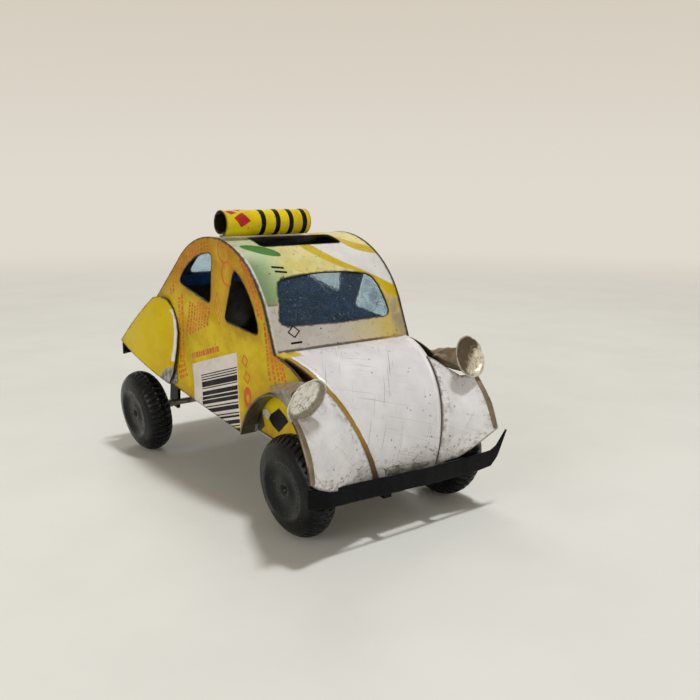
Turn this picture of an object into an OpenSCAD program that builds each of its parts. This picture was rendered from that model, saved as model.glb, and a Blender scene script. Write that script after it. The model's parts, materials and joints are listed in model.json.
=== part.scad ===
// Round-roofed toy car folded from recycled tin sheet, on four solid rubber wheels.
// X runs forward, Y to the car's left, Z up; the ground is Z = 0. All sizes in millimetres.

/* [Wheels] */
// Radius of the rubber tyre
tyre_r = 10.5; // [9.5:0.1:11.5]
// Width of the rubber tyre
tyre_w = 6.8; // [6:0.1:7.4]
// Distance from a side panel out to the middle of a tyre
tyre_gap = 1.7; // [1.5:0.1:3]
// Distance from the tail forward to the rear axle
rear_axle_in = 10.3; // [9.5:0.1:12]
// Lean of the front wheels, top outward
front_camber = 5; // [3:0.5:6]
// Lean of the rear wheels, top outward
rear_camber = 6.5; // [4:0.5:7]
// Number of grooves across the tread
tread_count = 20; // [16:2:24]
// Radius of the axle wire
wire_r = 0.8; // [0.7:0.05:0.95]
// Running clearance between the wire and the tyre
run_clear = 0.05; // [0.03:0.01:0.08]

/* [Body] */
// Half width over the side panels
body_half_w = 18.4; // [16:0.1:21]
// Thickness of the tin sheet
sheet_t = 0.4; // [0.3:0.05:0.5]
// Radius of the roof curve
roof_r = 23.9; // [21:0.1:27]
// Width of the strip beside the windscreen
screen_margin = 4.4; // [3.6:0.1:6]
// Width of the strip beside the rear window
rear_win_margin = 4.6; // [4:0.1:8]
// Width of the strip beside the opening in the roof
hatch_margin = 7.3; // [6:0.1:9]
// Outer radius of the rolled-up roof
roll_r = 3; // [2.5:0.1:3.5]
// Length of the rolled-up roof
roll_len = 22.2; // [18:0.1:28]
// Distance from the right side panel to the end of the rolled-up roof
roll_in = 1; // [0:0.1:4]

/* [Nose] */
// Radius of the bonnet curve
bonnet_r = 23.2; // [21:0.1:25]
// Depth of the fold along each side of the bonnet
fold_d = 1.8; // [1.6:0.1:2.4]
// Yaw of the front wings, outer edge forward
wing_yaw = 14; // [13.5:0.5:16]
// Distance from a side panel out to a front wing's rim
wing_out = 6.4; // [5.5:0.1:7.5]
// Width of the bare rim fold on a front wing
rim_w = 1.2; // [0.9:0.1:1.8]
// Radius of a headlamp disc
lamp_r = 4.75; // [4:0.05:5]
// Depth of a headlamp disc
lamp_d = 2; // [1.5:0.1:2.5]
// Height of the front bumper strip
bumper_h = 3.9; // [3:0.1:4.6]

/* [Hidden] */
$fn = 96;
roof_c = [-1.9, 33.5];
screen_p = roof_c + [roof_r + 1.2, 1.6];
tail_p = [-46, 28];
tail_foot_z = 24.2;
sill_p = [9.2, 15.3];
sill_rear_p = [-22, 19.6];
sill_a = atan2(sill_rear_p[1] - sill_p[1], sill_p[0] - sill_rear_p[0]);
arch_c = sill_p + [16, -3.8];
arch_r = 15.4;
pillar_w = 3.7;
win_r = roof_r - pillar_w;
in_y = body_half_w - sheet_t;
film_t = 0.2;
film_lap = 1.6;
rear_film_drop = 3.5;
rear_win_h = 6;
rear_win_up = roof_r - 6.9;
floor_low = 0.5;
floor_top = floor_low + sheet_t;
bonnet_c = [screen_p[0] - 2.6, screen_p[1] + 0.1 - bonnet_r];
crease_y = body_half_w - 8.13;
crease_rx = -16.47;
crease_rz = -6.68;
wing_r = bonnet_r - 1.2;
wing_half_w = body_half_w + wing_out;
wing_pivot_y = crease_y - 0.77;
// The hand-set wings differ: extra reach out, height of foot, height of top
wing_right = [1.2, 4.2, 13.6];
wing_left = [-1.2, 5.6, 16.2];
// The hand-set lamps differ: ahead of the bonnet centre, out from the panel, up,
// upward tilt, outward turn, and the bracket's foot ahead and up
lamp_right = [21, 6.2, 19.3, -23.2, -9.4, 2.9, 16];
lamp_left = [18, 2.2, 20, 19.3, 6.8, 4.8, 18.4];
lamp_seat_r = 3.4;
lamp_ball_r = (pow(lamp_r, 2) + pow(lamp_d, 2)) / (2 * lamp_d);
bumper_x = bonnet_c[0] + bonnet_r + 2.7;
bumper_t = 0.6;
bumper_z = 8.9;
track_half = body_half_w + tyre_gap;
floor_narrow = track_half - tyre_w / 2 - 1.5;
front_axle_x = bonnet_c[0] + bonnet_r + 0.3 - tyre_r;
rear_axle_x = tail_p[0] + rear_axle_in;
shoulder = 1.8;
stub_bend = track_half - tyre_w / 2 - 3.7;
ear_t = 0.8;
ear_y = stub_bend - 2 - ear_t;
stub_end = 0.6;
hole_end = 1.0;
rib_step = 360 / tread_count;
groove_d = 0.7;
groove_w = 0.9;
// The rear wings are part of a large ball that just clears the side panels
wing_ball_r = 90;
wing_ball_c = [tail_p[0] + 4, 26];
wing_reach = norm([-18.4, 33.4] - wing_ball_c);
wing_ball_y = body_half_w + sheet_t + 0.1 + wing_ball_r - sqrt(pow(wing_ball_r, 2) - pow(wing_reach, 2));
front_drop = shoulder + (tyre_r - shoulder) * cos(front_camber)
    + (tyre_w / 2 - shoulder) * sin(front_camber);
rear_drop = shoulder + (tyre_r - shoulder) * cos(rear_camber)
    + (tyre_w / 2 - shoulder) * sin(rear_camber);
front_wire_z = front_drop + (track_half - stub_bend) * tan(front_camber);
rear_wire_z = rear_drop + (track_half - stub_bend) * tan(rear_camber);
// The body rides so that it clears the tops of the tyres and the front axle's wire
axle_floor_z = sill_p[1] - (front_axle_x - sill_p[0]) * tan(sill_a) + (floor_low - sheet_t) / cos(sill_a);
body_z = max(2 * tyre_r - 21, front_wire_z + wire_r / cos(sill_a) - axle_floor_z);

yellow = [0.86, 0.68, 0.16];
cream = [0.88, 0.84, 0.66];
white = [0.90, 0.89, 0.85];
tin = [0.66, 0.63, 0.56];
solder = [0.55, 0.55, 0.54];
black = [0.06, 0.06, 0.06];
rubber = [0.07, 0.07, 0.075];
film_blue = [0.10, 0.16, 0.34, 0.6];

function unit(a) = [cos(a), sin(a)];
function tangent_a(p, s) = atan2((p - roof_c)[1], (p - roof_c)[0])
    + s * acos(roof_r / norm(p - roof_c));
screen_a = tangent_a(screen_p, 1) + 0.3;
tail_a = tangent_a(tail_p, -1) + 360 - 0.1;
screen_d = (screen_p - roof_c) * unit(screen_a);
tail_d = (tail_p - roof_c) * unit(tail_a);
screen_run = [sin(screen_a), -cos(screen_a)];
tail_run = [-sin(tail_a), cos(tail_a)];

// Lifts a piece of the body to its riding height
module lifted() {
    translate([0, 0, body_z]) children();
}

// Draws on the car's left, or mirrored on its right
module on_side(side) {
    if (side > 0) children();
    else mirror([0, 1, 0]) children();
}

// Stands a side-view drawing up, from y = y0 to y = y1
module side_view(y0, y1) {
    translate([0, y1, 0]) rotate([90, 0, 0]) linear_extrude(y1 - y0) children();
}

// Frame of the sloping floor: local X along the sill, local Z square to it
module floor_frame() {
    translate([sill_p[0], 0, sill_p[1]]) rotate([0, sill_a, 0]) children();
}

// Pie slice used to keep part of a circle
module slice(a0, a1) {
    polygon([[0, 0], 90 * unit(a0), 90 * unit(a0 + (a1 - a0) / 3),
        90 * unit(a0 + (a1 - a0) * 2 / 3), 90 * unit(a1)]);
}

// Part of a ring, from angle a0 to angle a1
module ring_part(r_out, r_in, a0, a1) {
    intersection() {
        difference() {
            circle(r_out);
            circle(r_in);
        }
        slice(a0, a1);
    }
}

// Cabin in side view, drawn inset from its outside and run past the strip's two ends
module cabin_outline(inset, nose_past, tail_past) {
    union() {
        translate(roof_c) intersection() {
            circle(roof_r - inset);
            slice(screen_a - 8, tail_a + 8);
        }
        polygon([roof_c + (screen_d - inset) * unit(screen_a), roof_c + roof_r / 2 * unit(75),
            roof_c + (tail_d - inset) * unit(tail_a),
            tail_p - inset * unit(tail_a) + tail_past * tail_run,
            [-30, tail_p[1] - 4 - tail_past], [screen_p[0] - 4, screen_p[1] - 4 - nose_past],
            screen_p - inset * unit(screen_a) + nose_past * screen_run]);
    }
}

// Rectangle with round corners, centred
module round_rect(w, h, r) {
    union() {
        square([w - 2 * r, h], center = true);
        square([w, h - 2 * r], center = true);
        for (sx = [-1, 1])
            for (sy = [-1, 1])
                translate([sx * (w / 2 - r), sy * (h / 2 - r)]) circle(r);
    }
}

// Side panel of the cabin with door and quarter windows
module side_panel(side) {
    on_side(side) side_view(in_y, body_half_w) difference() {
        union() {
            cabin_outline(0, 0, 0);
            polygon([screen_p, [10, 36], [-20, 36], tail_p, [tail_p[0], 24.6], [-24, 22.6],
                sill_rear_p, sill_p, [sill_p[0] + 3, sill_p[1]],
                [arch_c[0] + 0.2, arch_c[1] + arch_r - 2]]);
            intersection() {
                translate(bonnet_c) circle(bonnet_r - 0.25);
                translate(screen_p) polygon([[-7.2, -11.1], [6.8, -13.1], [10.2, -6.1],
                    [10.4, -0.1], [-0.8, 0.2], [-7.2, -2.1]]);
            }
        }
        translate(arch_c) circle(arch_r);
        intersection() {
            translate(roof_c) circle(win_r);
            translate(roof_c) polygon([[10.8, 20.1], [5.3, 6], [roof_r - 5, 4.5],
                [roof_r, 12], [17, 22]]);
        }
        intersection() {
            translate(roof_c) circle(win_r);
            translate(roof_c) polygon([[0.8, roof_r], [-0.9, 8.8], [-15, 12.2], [-22, 16],
                [-12, roof_r]]);
        }
    }
}

// Roof strip: windscreen surround, roof and tail in one bent sheet
module roof_strip_form() {
    difference() {
        side_view(-in_y, in_y) union() {
            difference() {
                cabin_outline(0, 1, 0);
                cabin_outline(sheet_t, 3, 3);
            }
            polygon([tail_p, [tail_p[0], tail_foot_z], [tail_p[0] + sheet_t, tail_foot_z],
                [tail_p[0] + sheet_t, tail_p[1] + 0.25]]);
        }
        translate([roof_c[0] + 8, 0, roof_c[1] + 11.5]) rotate([90, 0, 90]) linear_extrude(roof_r)
            round_rect(2 * (body_half_w - screen_margin), 10.8, 2.8);
        translate([roof_c[0] - 2 * roof_r, 0, roof_c[1] + rear_win_up]) rotate([90, 0, 90])
            linear_extrude(2 * roof_r - 6)
            round_rect(2 * (body_half_w - rear_win_margin), rear_win_h, 2);
        translate([roof_c[0] + 6.3, 0, roof_c[1] + roof_r / 2]) linear_extrude(roof_r)
            round_rect(6, 2 * (body_half_w - hatch_margin), 1.2);
    }
}

// Film glued behind the windscreen opening
module windscreen_film_form() {
    half = body_half_w - screen_margin + film_lap;
    side_view(-half, half) intersection() {
        difference() {
            cabin_outline(sheet_t, 0, 0);
            cabin_outline(sheet_t + film_t, 3, 3);
        }
        translate(roof_c) polygon([[9, 18.3], [9, 4.1], [2 * roof_r, 4.1], [2 * roof_r, 18.3]]);
    }
}

// Film glued behind the rear window opening
module rear_window_film_form() {
    half = body_half_w - rear_win_margin + film_lap;
    side_view(-half, half) intersection() {
        difference() {
            cabin_outline(sheet_t, 0, 0);
            cabin_outline(sheet_t + film_t, 3, 3);
        }
        translate([roof_c[0] - 6 - 2 * roof_r, roof_c[1] + rear_win_up - rear_win_h / 2 - rear_film_drop])
            square([2 * roof_r, rear_win_h + rear_film_drop + film_lap]);
    }
}

// Rolled-up roof: open tube on a short tongue behind the roof opening
module roof_roll_form() {
    roll_x = roof_c[0] + 2.9;
    roof_top = roof_c[1] + sqrt(pow(roof_r, 2) - pow(roll_x - roof_c[0], 2));
    roll_z = roof_top + 0.7 + roll_r;
    roll_y = roll_in - body_half_w;
    side_view(roll_y, roll_y + roll_len) difference() {
        union() {
            translate([roll_x, roll_z]) difference() {
                circle(roll_r);
                circle(roll_r - sheet_t);
            }
            translate([roll_x - 0.9, roll_z - roll_r - 2]) square([1.6, 2.2]);
        }
        translate([roll_x, roll_z]) circle(roll_r - sheet_t);
        translate(roof_c) circle(roof_r);
    }
}

// Half space on the car's middle side of the bonnet's side fold
module inside_fold(offset_n) {
    translate([0, crease_y, 0]) rotate([crease_rx, 0, crease_rz])
        translate([-150, offset_n - 150, -150]) cube([300, 150, 300]);
}

// Half space in front of the windscreen surround
module ahead_of_screen() {
    translate([screen_p[0], 0, screen_p[1]]) rotate([0, -screen_a, 0])
        translate([0, -100, -100]) cube([200, 200, 200]);
}

// Half space above the floor plate
module above_floor() {
    floor_frame() translate([-100, -100, floor_top]) cube([200, 200, 100]);
}

// Bonnet: quarter cylinder with a fold along each side
module bonnet_form() {
    difference() {
        intersection() {
            side_view(-30, 30) translate(bonnet_c)
                ring_part(bonnet_r, bonnet_r - fold_d, -12, 100);
            inside_fold(0);
            mirror([0, 1, 0]) inside_fold(0);
            ahead_of_screen();
            above_floor();
        }
        intersection() {
            side_view(-30, 30) translate(bonnet_c) circle(bonnet_r - sheet_t);
            inside_fold(-sheet_t);
            mirror([0, 1, 0]) inside_fold(-sheet_t);
        }
    }
}

// Curved sheet of a front wing, from r_in to r_out
module wing_curve(r_out, r_in) {
    translate([0, wing_pivot_y, 0]) rotate([0, 0, -wing_yaw]) side_view(-15, 30)
        translate(bonnet_c) ring_part(r_out, r_in, -12, 70);
}

// Front wing beside the bonnet
module front_wing(side, wing) {
    half = wing_half_w + wing[0];
    on_side(side) difference() {
        intersection() {
            wing_curve(wing_r, wing_r - sheet_t);
            translate([bonnet_c[0], 0, bonnet_c[1]]) rotate([90, 0, 90])
                linear_extrude(2 * bonnet_r) polygon([[crease_y - 4.3, 0.2],
                    [crease_y - 0.8, 0.2], [body_half_w - 2, 1.9], [half, wing[1]],
                    [half, wing[2]], [body_half_w - 0.4, wing[2]], [body_half_w - 2.2, 17.5],
                    [crease_y - 4.3, 18.5]]);
        }
        inside_fold(0);
    }
}

// Bare folded rim along the outer edge of a front wing
module wing_rim(side, wing) {
    half = wing_half_w + wing[0];
    on_side(side) intersection() {
        wing_curve(wing_r + 0.35, wing_r);
        translate([bonnet_c[0], 0, bonnet_c[1]]) rotate([90, 0, 90])
            linear_extrude(2 * bonnet_r) polygon([[half - rim_w, wing[1] - 0.2],
                [half, wing[1]], [half, wing[2]], [half - rim_w, wing[2]]]);
    }
}

// Place of a lamp's back and the way it faces
function lamp_point(lamp) = [bonnet_c[0] + lamp[0], body_half_w + lamp[1], bonnet_c[1] + lamp[2]];
function lamp_way(lamp) = [cos(lamp[3]) * cos(lamp[4]), cos(lamp[3]) * sin(lamp[4]), sin(lamp[3])];

// Frame of a lamp: origin at its back, Z the way it faces
module lamp_frame(lamp) {
    translate(lamp_point(lamp)) rotate([0, 90 - lamp[3], lamp[4]]) children();
}

// Headlamp: a shallow bowl beaten from sheet
module headlamp_disc(side, lamp) {
    on_side(side) lamp_frame(lamp) rotate_extrude() intersection() {
        translate([0, lamp_ball_r]) difference() {
            circle(lamp_ball_r);
            circle(lamp_ball_r - sheet_t);
        }
        square([lamp_r + 1, lamp_d]);
    }
}

// Tapered headlamp bracket from the side panel to the back of the bowl
module headlamp_bracket(side, lamp) {
    foot = [bonnet_c[0] + lamp[5], body_half_w + 0.4, bonnet_c[1] + lamp[6]];
    aim = lamp_point(lamp) + lamp_way(lamp) - foot;
    on_side(side) difference() {
        translate(foot) rotate([0, acos(aim[2] / norm(aim)), atan2(aim[1], aim[0])])
            cylinder(h = norm(aim), r1 = 1, r2 = lamp_seat_r);
        lamp_frame(lamp) translate([0, 0, lamp_ball_r]) sphere(lamp_ball_r);
        translate([bonnet_c[0] - 20, body_half_w - 30, 0]) cube([60, 30, 2 * roof_c[1]]);
    }
}

// Inner panel between floor and bonnet, inboard of the front wheel
module inner_panel(side) {
    on_side(side) intersection() {
        side_view(floor_narrow - 0.6, floor_narrow - 0.2) intersection() {
            translate(bonnet_c) circle(bonnet_r - fold_d - 0.2);
            translate(bonnet_c) polygon([[-14.6, -12], [bonnet_r, -12], [bonnet_r, 16], [15, bonnet_r],
                [-14.6, bonnet_r]]);
        }
        above_floor();
    }
}

// Bare tin liner along the front wheel arch
module arch_lip(side) {
    on_side(side) side_view(floor_narrow, body_half_w + 0.6) translate(arch_c)
        ring_part(arch_r, arch_r - sheet_t, 74, 166);
}

// Outline of a rear wing in side view
module rear_wing_outline() {
    polygon([[-22, 20.3], [-20.4, 23], [-19.3, 26.1], [-18.6, 29.8], [-18.4, 33.4],
        [-19.1, 36.5], [-20.6, 39.1], [-23, 41], [-26, 41.7], [-28.9, 41.1],
        [-44.4, 28.2]]);
}

// Bowed rear wing with three tabs that meet the side panel
module rear_wing(side) {
    ball_c = [wing_ball_c[0], wing_ball_y - wing_ball_r, wing_ball_c[1]];
    on_side(side) union() {
        intersection() {
            side_view(body_half_w, wing_ball_y + 1) rear_wing_outline();
            translate(ball_c) difference() {
                sphere(wing_ball_r);
                sphere(wing_ball_r - sheet_t);
            }
        }
        intersection() {
            translate(ball_c) sphere(wing_ball_r - sheet_t / 4);
            side_view(body_half_w, wing_ball_y + 1) union() {
                polygon([[-21.9, 21], [-20.9, 22.9], [-22.6, 23.4], [-23.4, 21.4]]);
                polygon([[-23.4, 39], [-24.6, 40.8], [-27.4, 40.6], [-26.8, 39]]);
                polygon([[-40.2, 27.6], [-40.2, 30.4], [-42.4, 29.2], [-42.8, 28]]);
            }
        }
    }
}

// Floor plate on the slope of the sills
module floor_pan_form() {
    front_x = (bonnet_c[0] + bonnet_r - 0.1 - sill_p[0]) / cos(sill_a);
    front_y = crease_y - 1.4;
    step_x = norm(sill_rear_p - sill_p) - 0.5;
    back_x = (sill_p[0] - tail_p[0] - 0.7) / cos(sill_a);
    floor_frame() translate([0, 0, floor_low]) linear_extrude(sheet_t)
        polygon([[front_x, -front_y], [front_x, front_y], [front_x - 2.8, floor_narrow],
            [0, floor_narrow], [0, in_y], [-step_x, in_y], [-step_x - 1, floor_narrow],
            [-back_x, floor_narrow], [-back_x, -floor_narrow], [-step_x - 1, -floor_narrow],
            [-step_x, -in_y], [0, -in_y], [0, -floor_narrow], [front_x - 2.8, -floor_narrow]]);
}

// Frame of one wheel: origin at the tyre's middle, Z along its axle and outward
module wheel_frame(x, drop, camber) {
    translate([x, track_half, drop]) rotate([-90 - camber, 0, 0]) children();
}

// Axle wire: straight middle, ends bent down for the lean of the wheels
module axle_wire(x, drop, camber, wire_z) {
    run = (track_half - stub_bend) / cos(camber);
    union() {
        translate([x, stub_bend, wire_z]) rotate([90, 0, 0])
            cylinder(h = 2 * stub_bend, r = wire_r);
        for (side = [-1, 1])
            on_side(side) {
                translate([x, stub_bend, wire_z]) sphere(wire_r * 1.3);
                wheel_frame(x, drop, camber) translate([0, 0, -run])
                    cylinder(h = run + stub_end, r = wire_r);
            }
    }
}

// Folded bracket under the floor that carries an axle wire
module axle_bracket(x, wire_z) {
    local_x = (x - sill_p[0]) / cos(sill_a);
    floor_z = body_z + sill_p[1] - local_x * sin(sill_a) + floor_low;
    leg = floor_z - wire_z + wire_r + 1;
    difference() {
        translate([0, 0, body_z]) floor_frame() translate([local_x, 0, 0]) union() {
            translate([-3, -ear_y - ear_t, floor_low - sheet_t])
                cube([6, 2 * (ear_y + ear_t), sheet_t]);
            for (side = [-1, 1])
                on_side(side) translate([-2.2 - 0.14 * leg / 2, ear_y, floor_low - leg])
                    cube([4.4, ear_t, leg]);
        }
        translate([x, 2 * track_half, wire_z]) rotate([90, 0, 0])
            cylinder(h = 4 * track_half, r = wire_r);
    }
}

// Collar on the wire that keeps a wheel from sliding inward
module collar(side, x, drop, camber) {
    on_side(side) wheel_frame(x, drop, camber) translate([0, 0, -tyre_w / 2 - 1.3])
        difference() {
            cylinder(h = 0.8, r = 1.8);
            translate([0, 0, -1]) cylinder(h = 3, r = wire_r);
        }
}

// Cross-section of a solid rubber wheel
module wheel_section() {
    half = tyre_w / 2;
    difference() {
        union() {
            translate([0, -half]) square([tyre_r - shoulder, tyre_w]);
            translate([0, shoulder - half]) square([tyre_r, tyre_w - 2 * shoulder]);
            for (s = [-1, 1]) {
                translate([tyre_r - shoulder, s * (half - shoulder)]) circle(shoulder);
                translate([tyre_r - 3.6, s * half]) circle(0.4);
            }
        }
        translate([0, half + 6]) circle(7);
        translate([0, half - 0.9]) circle(0.7);
        translate([-1, -half - 1]) square([1 + wire_r + run_clear, half + hole_end + 1]);
        translate([-20, -20]) square([20, 40]);
    }
}

// Rubber wheel with grooves across the tread
module wheel(side, x, drop, camber) {
    on_side(side) wheel_frame(x, drop, camber) difference() {
        rotate_extrude() wheel_section();
        for (k = [0:tread_count - 1])
            rotate([0, 0, (k + 0.5) * rib_step])
                translate([tyre_r - groove_d, -groove_w / 2, -tyre_w])
                    cube([2, groove_w, 2 * tyre_w]);
    }
}

// Plan of a bumper strip whose ends curve back
module bumper_plan(half, r, a) {
    union() {
        translate([-bumper_t, -half]) square([bumper_t, 2 * half]);
        translate([-r, half]) ring_part(r, r - bumper_t, 0, a);
        translate([-r, -half]) ring_part(r, r - bumper_t, -a, 0);
    }
}

// Front bumper: its right end curves back, its left end is bent up to a point
module front_bumper_form() {
    half = body_half_w + 2.1;
    curl_r = 8;
    linear_extrude(bumper_h) union() {
        translate([-bumper_t, -half]) square([bumper_t, 2 * half - 1]);
        translate([-curl_r, -half]) ring_part(curl_r, curl_r - bumper_t, -38, 0);
    }
    translate([-bumper_t, 0, 0]) rotate([90, 0, 90]) linear_extrude(bumper_t)
        polygon([[half - 2, 0], [half + 1.6, 0.3], [half + 3.6, 2.2], [half + 6.2, bumper_h + 3.9],
            [half + 3.4, bumper_h + 0.9], [half + 1.5, bumper_h], [half - 2, bumper_h]]);
}

// Bracket between floor plate and front bumper
module bumper_bracket(side) {
    on_side(side) intersection() {
        floor_frame() translate([(front_axle_x + wire_r + 2.2 - sill_p[0]) / cos(sill_a), crease_y - 4.3,
            floor_low - 2]) cube([14, 2, 2]);
        translate([0, -50, 0]) cube([bumper_x - bumper_t, 100, 50]);
    }
}

module side_panel_right() {
    color(yellow) lifted() side_panel(-1);
}

module side_panel_left() {
    color(yellow) lifted() side_panel(1);
}

module roof_strip() {
    color(cream) lifted() roof_strip_form();
}

module windscreen_film() {
    color(film_blue) lifted() windscreen_film_form();
}

module rear_window_film() {
    color(film_blue) lifted() rear_window_film_form();
}

module roof_roll() {
    color(yellow) lifted() roof_roll_form();
}

module bonnet() {
    color(white) lifted() bonnet_form();
}

module front_wing_right() {
    color(white) lifted() front_wing(-1, wing_right);
}

module front_wing_left() {
    color(white) lifted() front_wing(1, wing_left);
}

module wing_rim_right() {
    color(tin) lifted() wing_rim(-1, wing_right);
}

module wing_rim_left() {
    color(tin) lifted() wing_rim(1, wing_left);
}

module headlamp_disc_right() {
    color(tin) lifted() headlamp_disc(-1, lamp_right);
}

module headlamp_disc_left() {
    color(tin) lifted() headlamp_disc(1, lamp_left);
}

module headlamp_bracket_right() {
    color(tin) lifted() headlamp_bracket(-1, lamp_right);
}

module headlamp_bracket_left() {
    color(tin) lifted() headlamp_bracket(1, lamp_left);
}

module inner_panel_right() {
    color(yellow) lifted() inner_panel(-1);
}

module inner_panel_left() {
    color(yellow) lifted() inner_panel(1);
}

module arch_lip_right() {
    color(tin) lifted() arch_lip(-1);
}

module arch_lip_left() {
    color(tin) lifted() arch_lip(1);
}

module rear_wing_right() {
    color(yellow) lifted() rear_wing(-1);
}

module rear_wing_left() {
    color(yellow) lifted() rear_wing(1);
}

module floor_pan() {
    color(tin) lifted() floor_pan_form();
}

module front_axle() {
    color(tin) axle_wire(front_axle_x, front_drop, front_camber, front_wire_z);
}

module rear_axle() {
    color(tin) axle_wire(rear_axle_x, rear_drop, rear_camber, rear_wire_z);
}

module front_axle_bracket() {
    color(black) axle_bracket(front_axle_x, front_wire_z);
}

module rear_axle_bracket() {
    color(black) axle_bracket(rear_axle_x, rear_wire_z);
}

module collar_front_right() {
    color(tin) collar(-1, front_axle_x, front_drop, front_camber);
}

module collar_front_left() {
    color(tin) collar(1, front_axle_x, front_drop, front_camber);
}

module collar_rear_right() {
    color(tin) collar(-1, rear_axle_x, rear_drop, rear_camber);
}

module collar_rear_left() {
    color(tin) collar(1, rear_axle_x, rear_drop, rear_camber);
}

module wheel_front_right() {
    color(rubber) wheel(-1, front_axle_x, front_drop, front_camber);
}

module wheel_front_left() {
    color(rubber) wheel(1, front_axle_x, front_drop, front_camber);
}

module wheel_rear_right() {
    color(rubber) wheel(-1, rear_axle_x, rear_drop, rear_camber);
}

module wheel_rear_left() {
    color(rubber) wheel(1, rear_axle_x, rear_drop, rear_camber);
}

module front_bumper() {
    color(black) translate([bumper_x, 0, body_z + bumper_z]) front_bumper_form();
}

module bumper_bracket_right() {
    color(black) lifted() bumper_bracket(-1);
}

module bumper_bracket_left() {
    color(black) lifted() bumper_bracket(1);
}

module rear_bumper() {
    color(black) translate([tail_p[0] - bumper_t, 0, body_z + tail_foot_z + 0.1])
        mirror([1, 0, 0]) linear_extrude(bumper_h - 0.4) bumper_plan(body_half_w + 0.2, 4, 50);
}

// Smear of solder along the bonnet's lower edge
module solder_patch() {
    color(solder) lifted() intersection() {
        side_view(-20, 20) translate(bonnet_c) ring_part(bonnet_r + 0.45, bonnet_r, -10, 40);
        translate([bonnet_c[0], 0, bonnet_c[1] + 1.6]) rotate([90, 0, 90])
            linear_extrude(2 * bonnet_r) union() {
            translate([-3.6, -0.2]) circle(1.4);
            translate([-1.6, 0.1]) circle(1.7);
            translate([0.8, 0]) circle(1.5);
            translate([3, 0.5]) circle(1.6);
        }
    }
}

side_panel_right();
side_panel_left();
roof_strip();
windscreen_film();
rear_window_film();
roof_roll();
bonnet();
front_wing_right();
front_wing_left();
wing_rim_right();
wing_rim_left();
headlamp_disc_right();
headlamp_disc_left();
headlamp_bracket_right();
headlamp_bracket_left();
inner_panel_right();
inner_panel_left();
arch_lip_right();
arch_lip_left();
rear_wing_right();
rear_wing_left();
floor_pan();
front_axle();
rear_axle();
front_axle_bracket();
rear_axle_bracket();
collar_front_right();
collar_front_left();
collar_rear_right();
collar_rear_left();
wheel_front_right();
wheel_front_left();
wheel_rear_right();
wheel_rear_left();
front_bumper();
bumper_bracket_right();
bumper_bracket_left();
rear_bumper();
solder_patch();
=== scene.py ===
import json
from math import acos, asin, atan2, ceil, copysign, cos, exp, pi, radians, sin, sqrt

import bmesh
import bpy
import numpy as np
from mathutils import Matrix, Vector, noise
from mathutils.geometry import delaunay_2d_cdt
from numpy.linalg import norm


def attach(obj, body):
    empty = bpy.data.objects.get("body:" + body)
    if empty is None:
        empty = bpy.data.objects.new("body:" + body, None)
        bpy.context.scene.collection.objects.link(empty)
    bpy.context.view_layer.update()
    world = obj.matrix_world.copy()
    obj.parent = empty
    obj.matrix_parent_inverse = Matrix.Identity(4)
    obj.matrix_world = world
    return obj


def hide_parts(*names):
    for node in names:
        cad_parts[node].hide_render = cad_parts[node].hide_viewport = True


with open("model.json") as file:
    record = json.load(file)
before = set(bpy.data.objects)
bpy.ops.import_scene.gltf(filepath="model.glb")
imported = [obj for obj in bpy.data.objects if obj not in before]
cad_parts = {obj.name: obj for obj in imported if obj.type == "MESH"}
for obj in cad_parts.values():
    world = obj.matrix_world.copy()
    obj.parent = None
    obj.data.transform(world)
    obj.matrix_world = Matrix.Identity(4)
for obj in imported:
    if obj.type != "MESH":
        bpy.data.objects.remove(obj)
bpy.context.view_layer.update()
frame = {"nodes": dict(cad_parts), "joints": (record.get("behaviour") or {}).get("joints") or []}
scene = bpy.context.scene

# Sizes of the CAD model, in millimetres
MM = 0.001
UP = Vector((0, 0, 1))
SIDES = (("right", -1), ("left", 1))
ROOF_C = np.array([-1.9, 33.5])
ROOF_R = 23.9
SCREEN_P = np.array([23.2, 35.1])
TAIL_P = np.array([-46.0, 28.0])
SILL_P = np.array([9.2, 15.3])
SILL_A = atan2(4.3, 31.2)
BON_C = np.array([20.6, 12.0])
BON_R = 23.2
WING_R = 22.0
WING_YAW = radians(14)
WING_PIVOT = 9.5
HALF_W = 18.4
INNER_W = 15.0
SHEET = 0.4
BALL_R = 90.0
BALL_C = np.array([-42.0, 26.0])
BALL_Y = HALF_W + 0.5 + BALL_R - sqrt(BALL_R ** 2 - (23.6 ** 2 + 7.4 ** 2))
TYRE_R = 10.5
TYRE_W = 6.8
CREASE_N = np.array([0.1116, 0.9525, -0.2835])
CREASE_Y = 10.27


def rgb(*levels):
    """Linear colour of an 8-bit screen colour."""
    parts = [level / 255.0 for level in levels]
    return tuple(c / 12.92 if c <= 0.04045 else ((c + 0.055) / 1.055) ** 2.4 for c in parts) + (1.0,)


def fbm(u, v, w):
    """Noise of three octaves."""
    total = 0.0
    amp = 1.0
    for k in range(3):
        total += amp * noise.noise(Vector((u, v, w + 7.3 * k)))
        u, v, amp = u * 2.1, v * 2.1, amp * 0.5
    return total


def smooth(a, b, x):
    t = min(1.0, max(0.0, (x - a) / (b - a)))
    return t * t * (3 - 2 * t)


def polar(a):
    return np.array([cos(a), sin(a)])


def power(x, exponent):
    """Power that keeps the sign."""
    return copysign(abs(x) ** exponent, x)


def solve(test, lo, hi):
    """Place between lo and hi where the test turns false."""
    for _ in range(50):
        mid = (lo + hi) / 2
        if test(mid):
            lo = mid
        else:
            hi = mid
    return lo


# Shader building


class Wire:
    """An output of a node that takes part in sums and products."""

    def __init__(self, nodes, socket):
        self.nodes = nodes
        self.socket = socket

    def __add__(self, other):
        return self.nodes.op("ADD", self, other)

    def __mul__(self, other):
        return self.nodes.op("MULTIPLY", self, other)

    def __sub__(self, other):
        return self.nodes.op("SUBTRACT", self, other)

    def __rsub__(self, other):
        return self.nodes.op("SUBTRACT", other, self)


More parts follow.
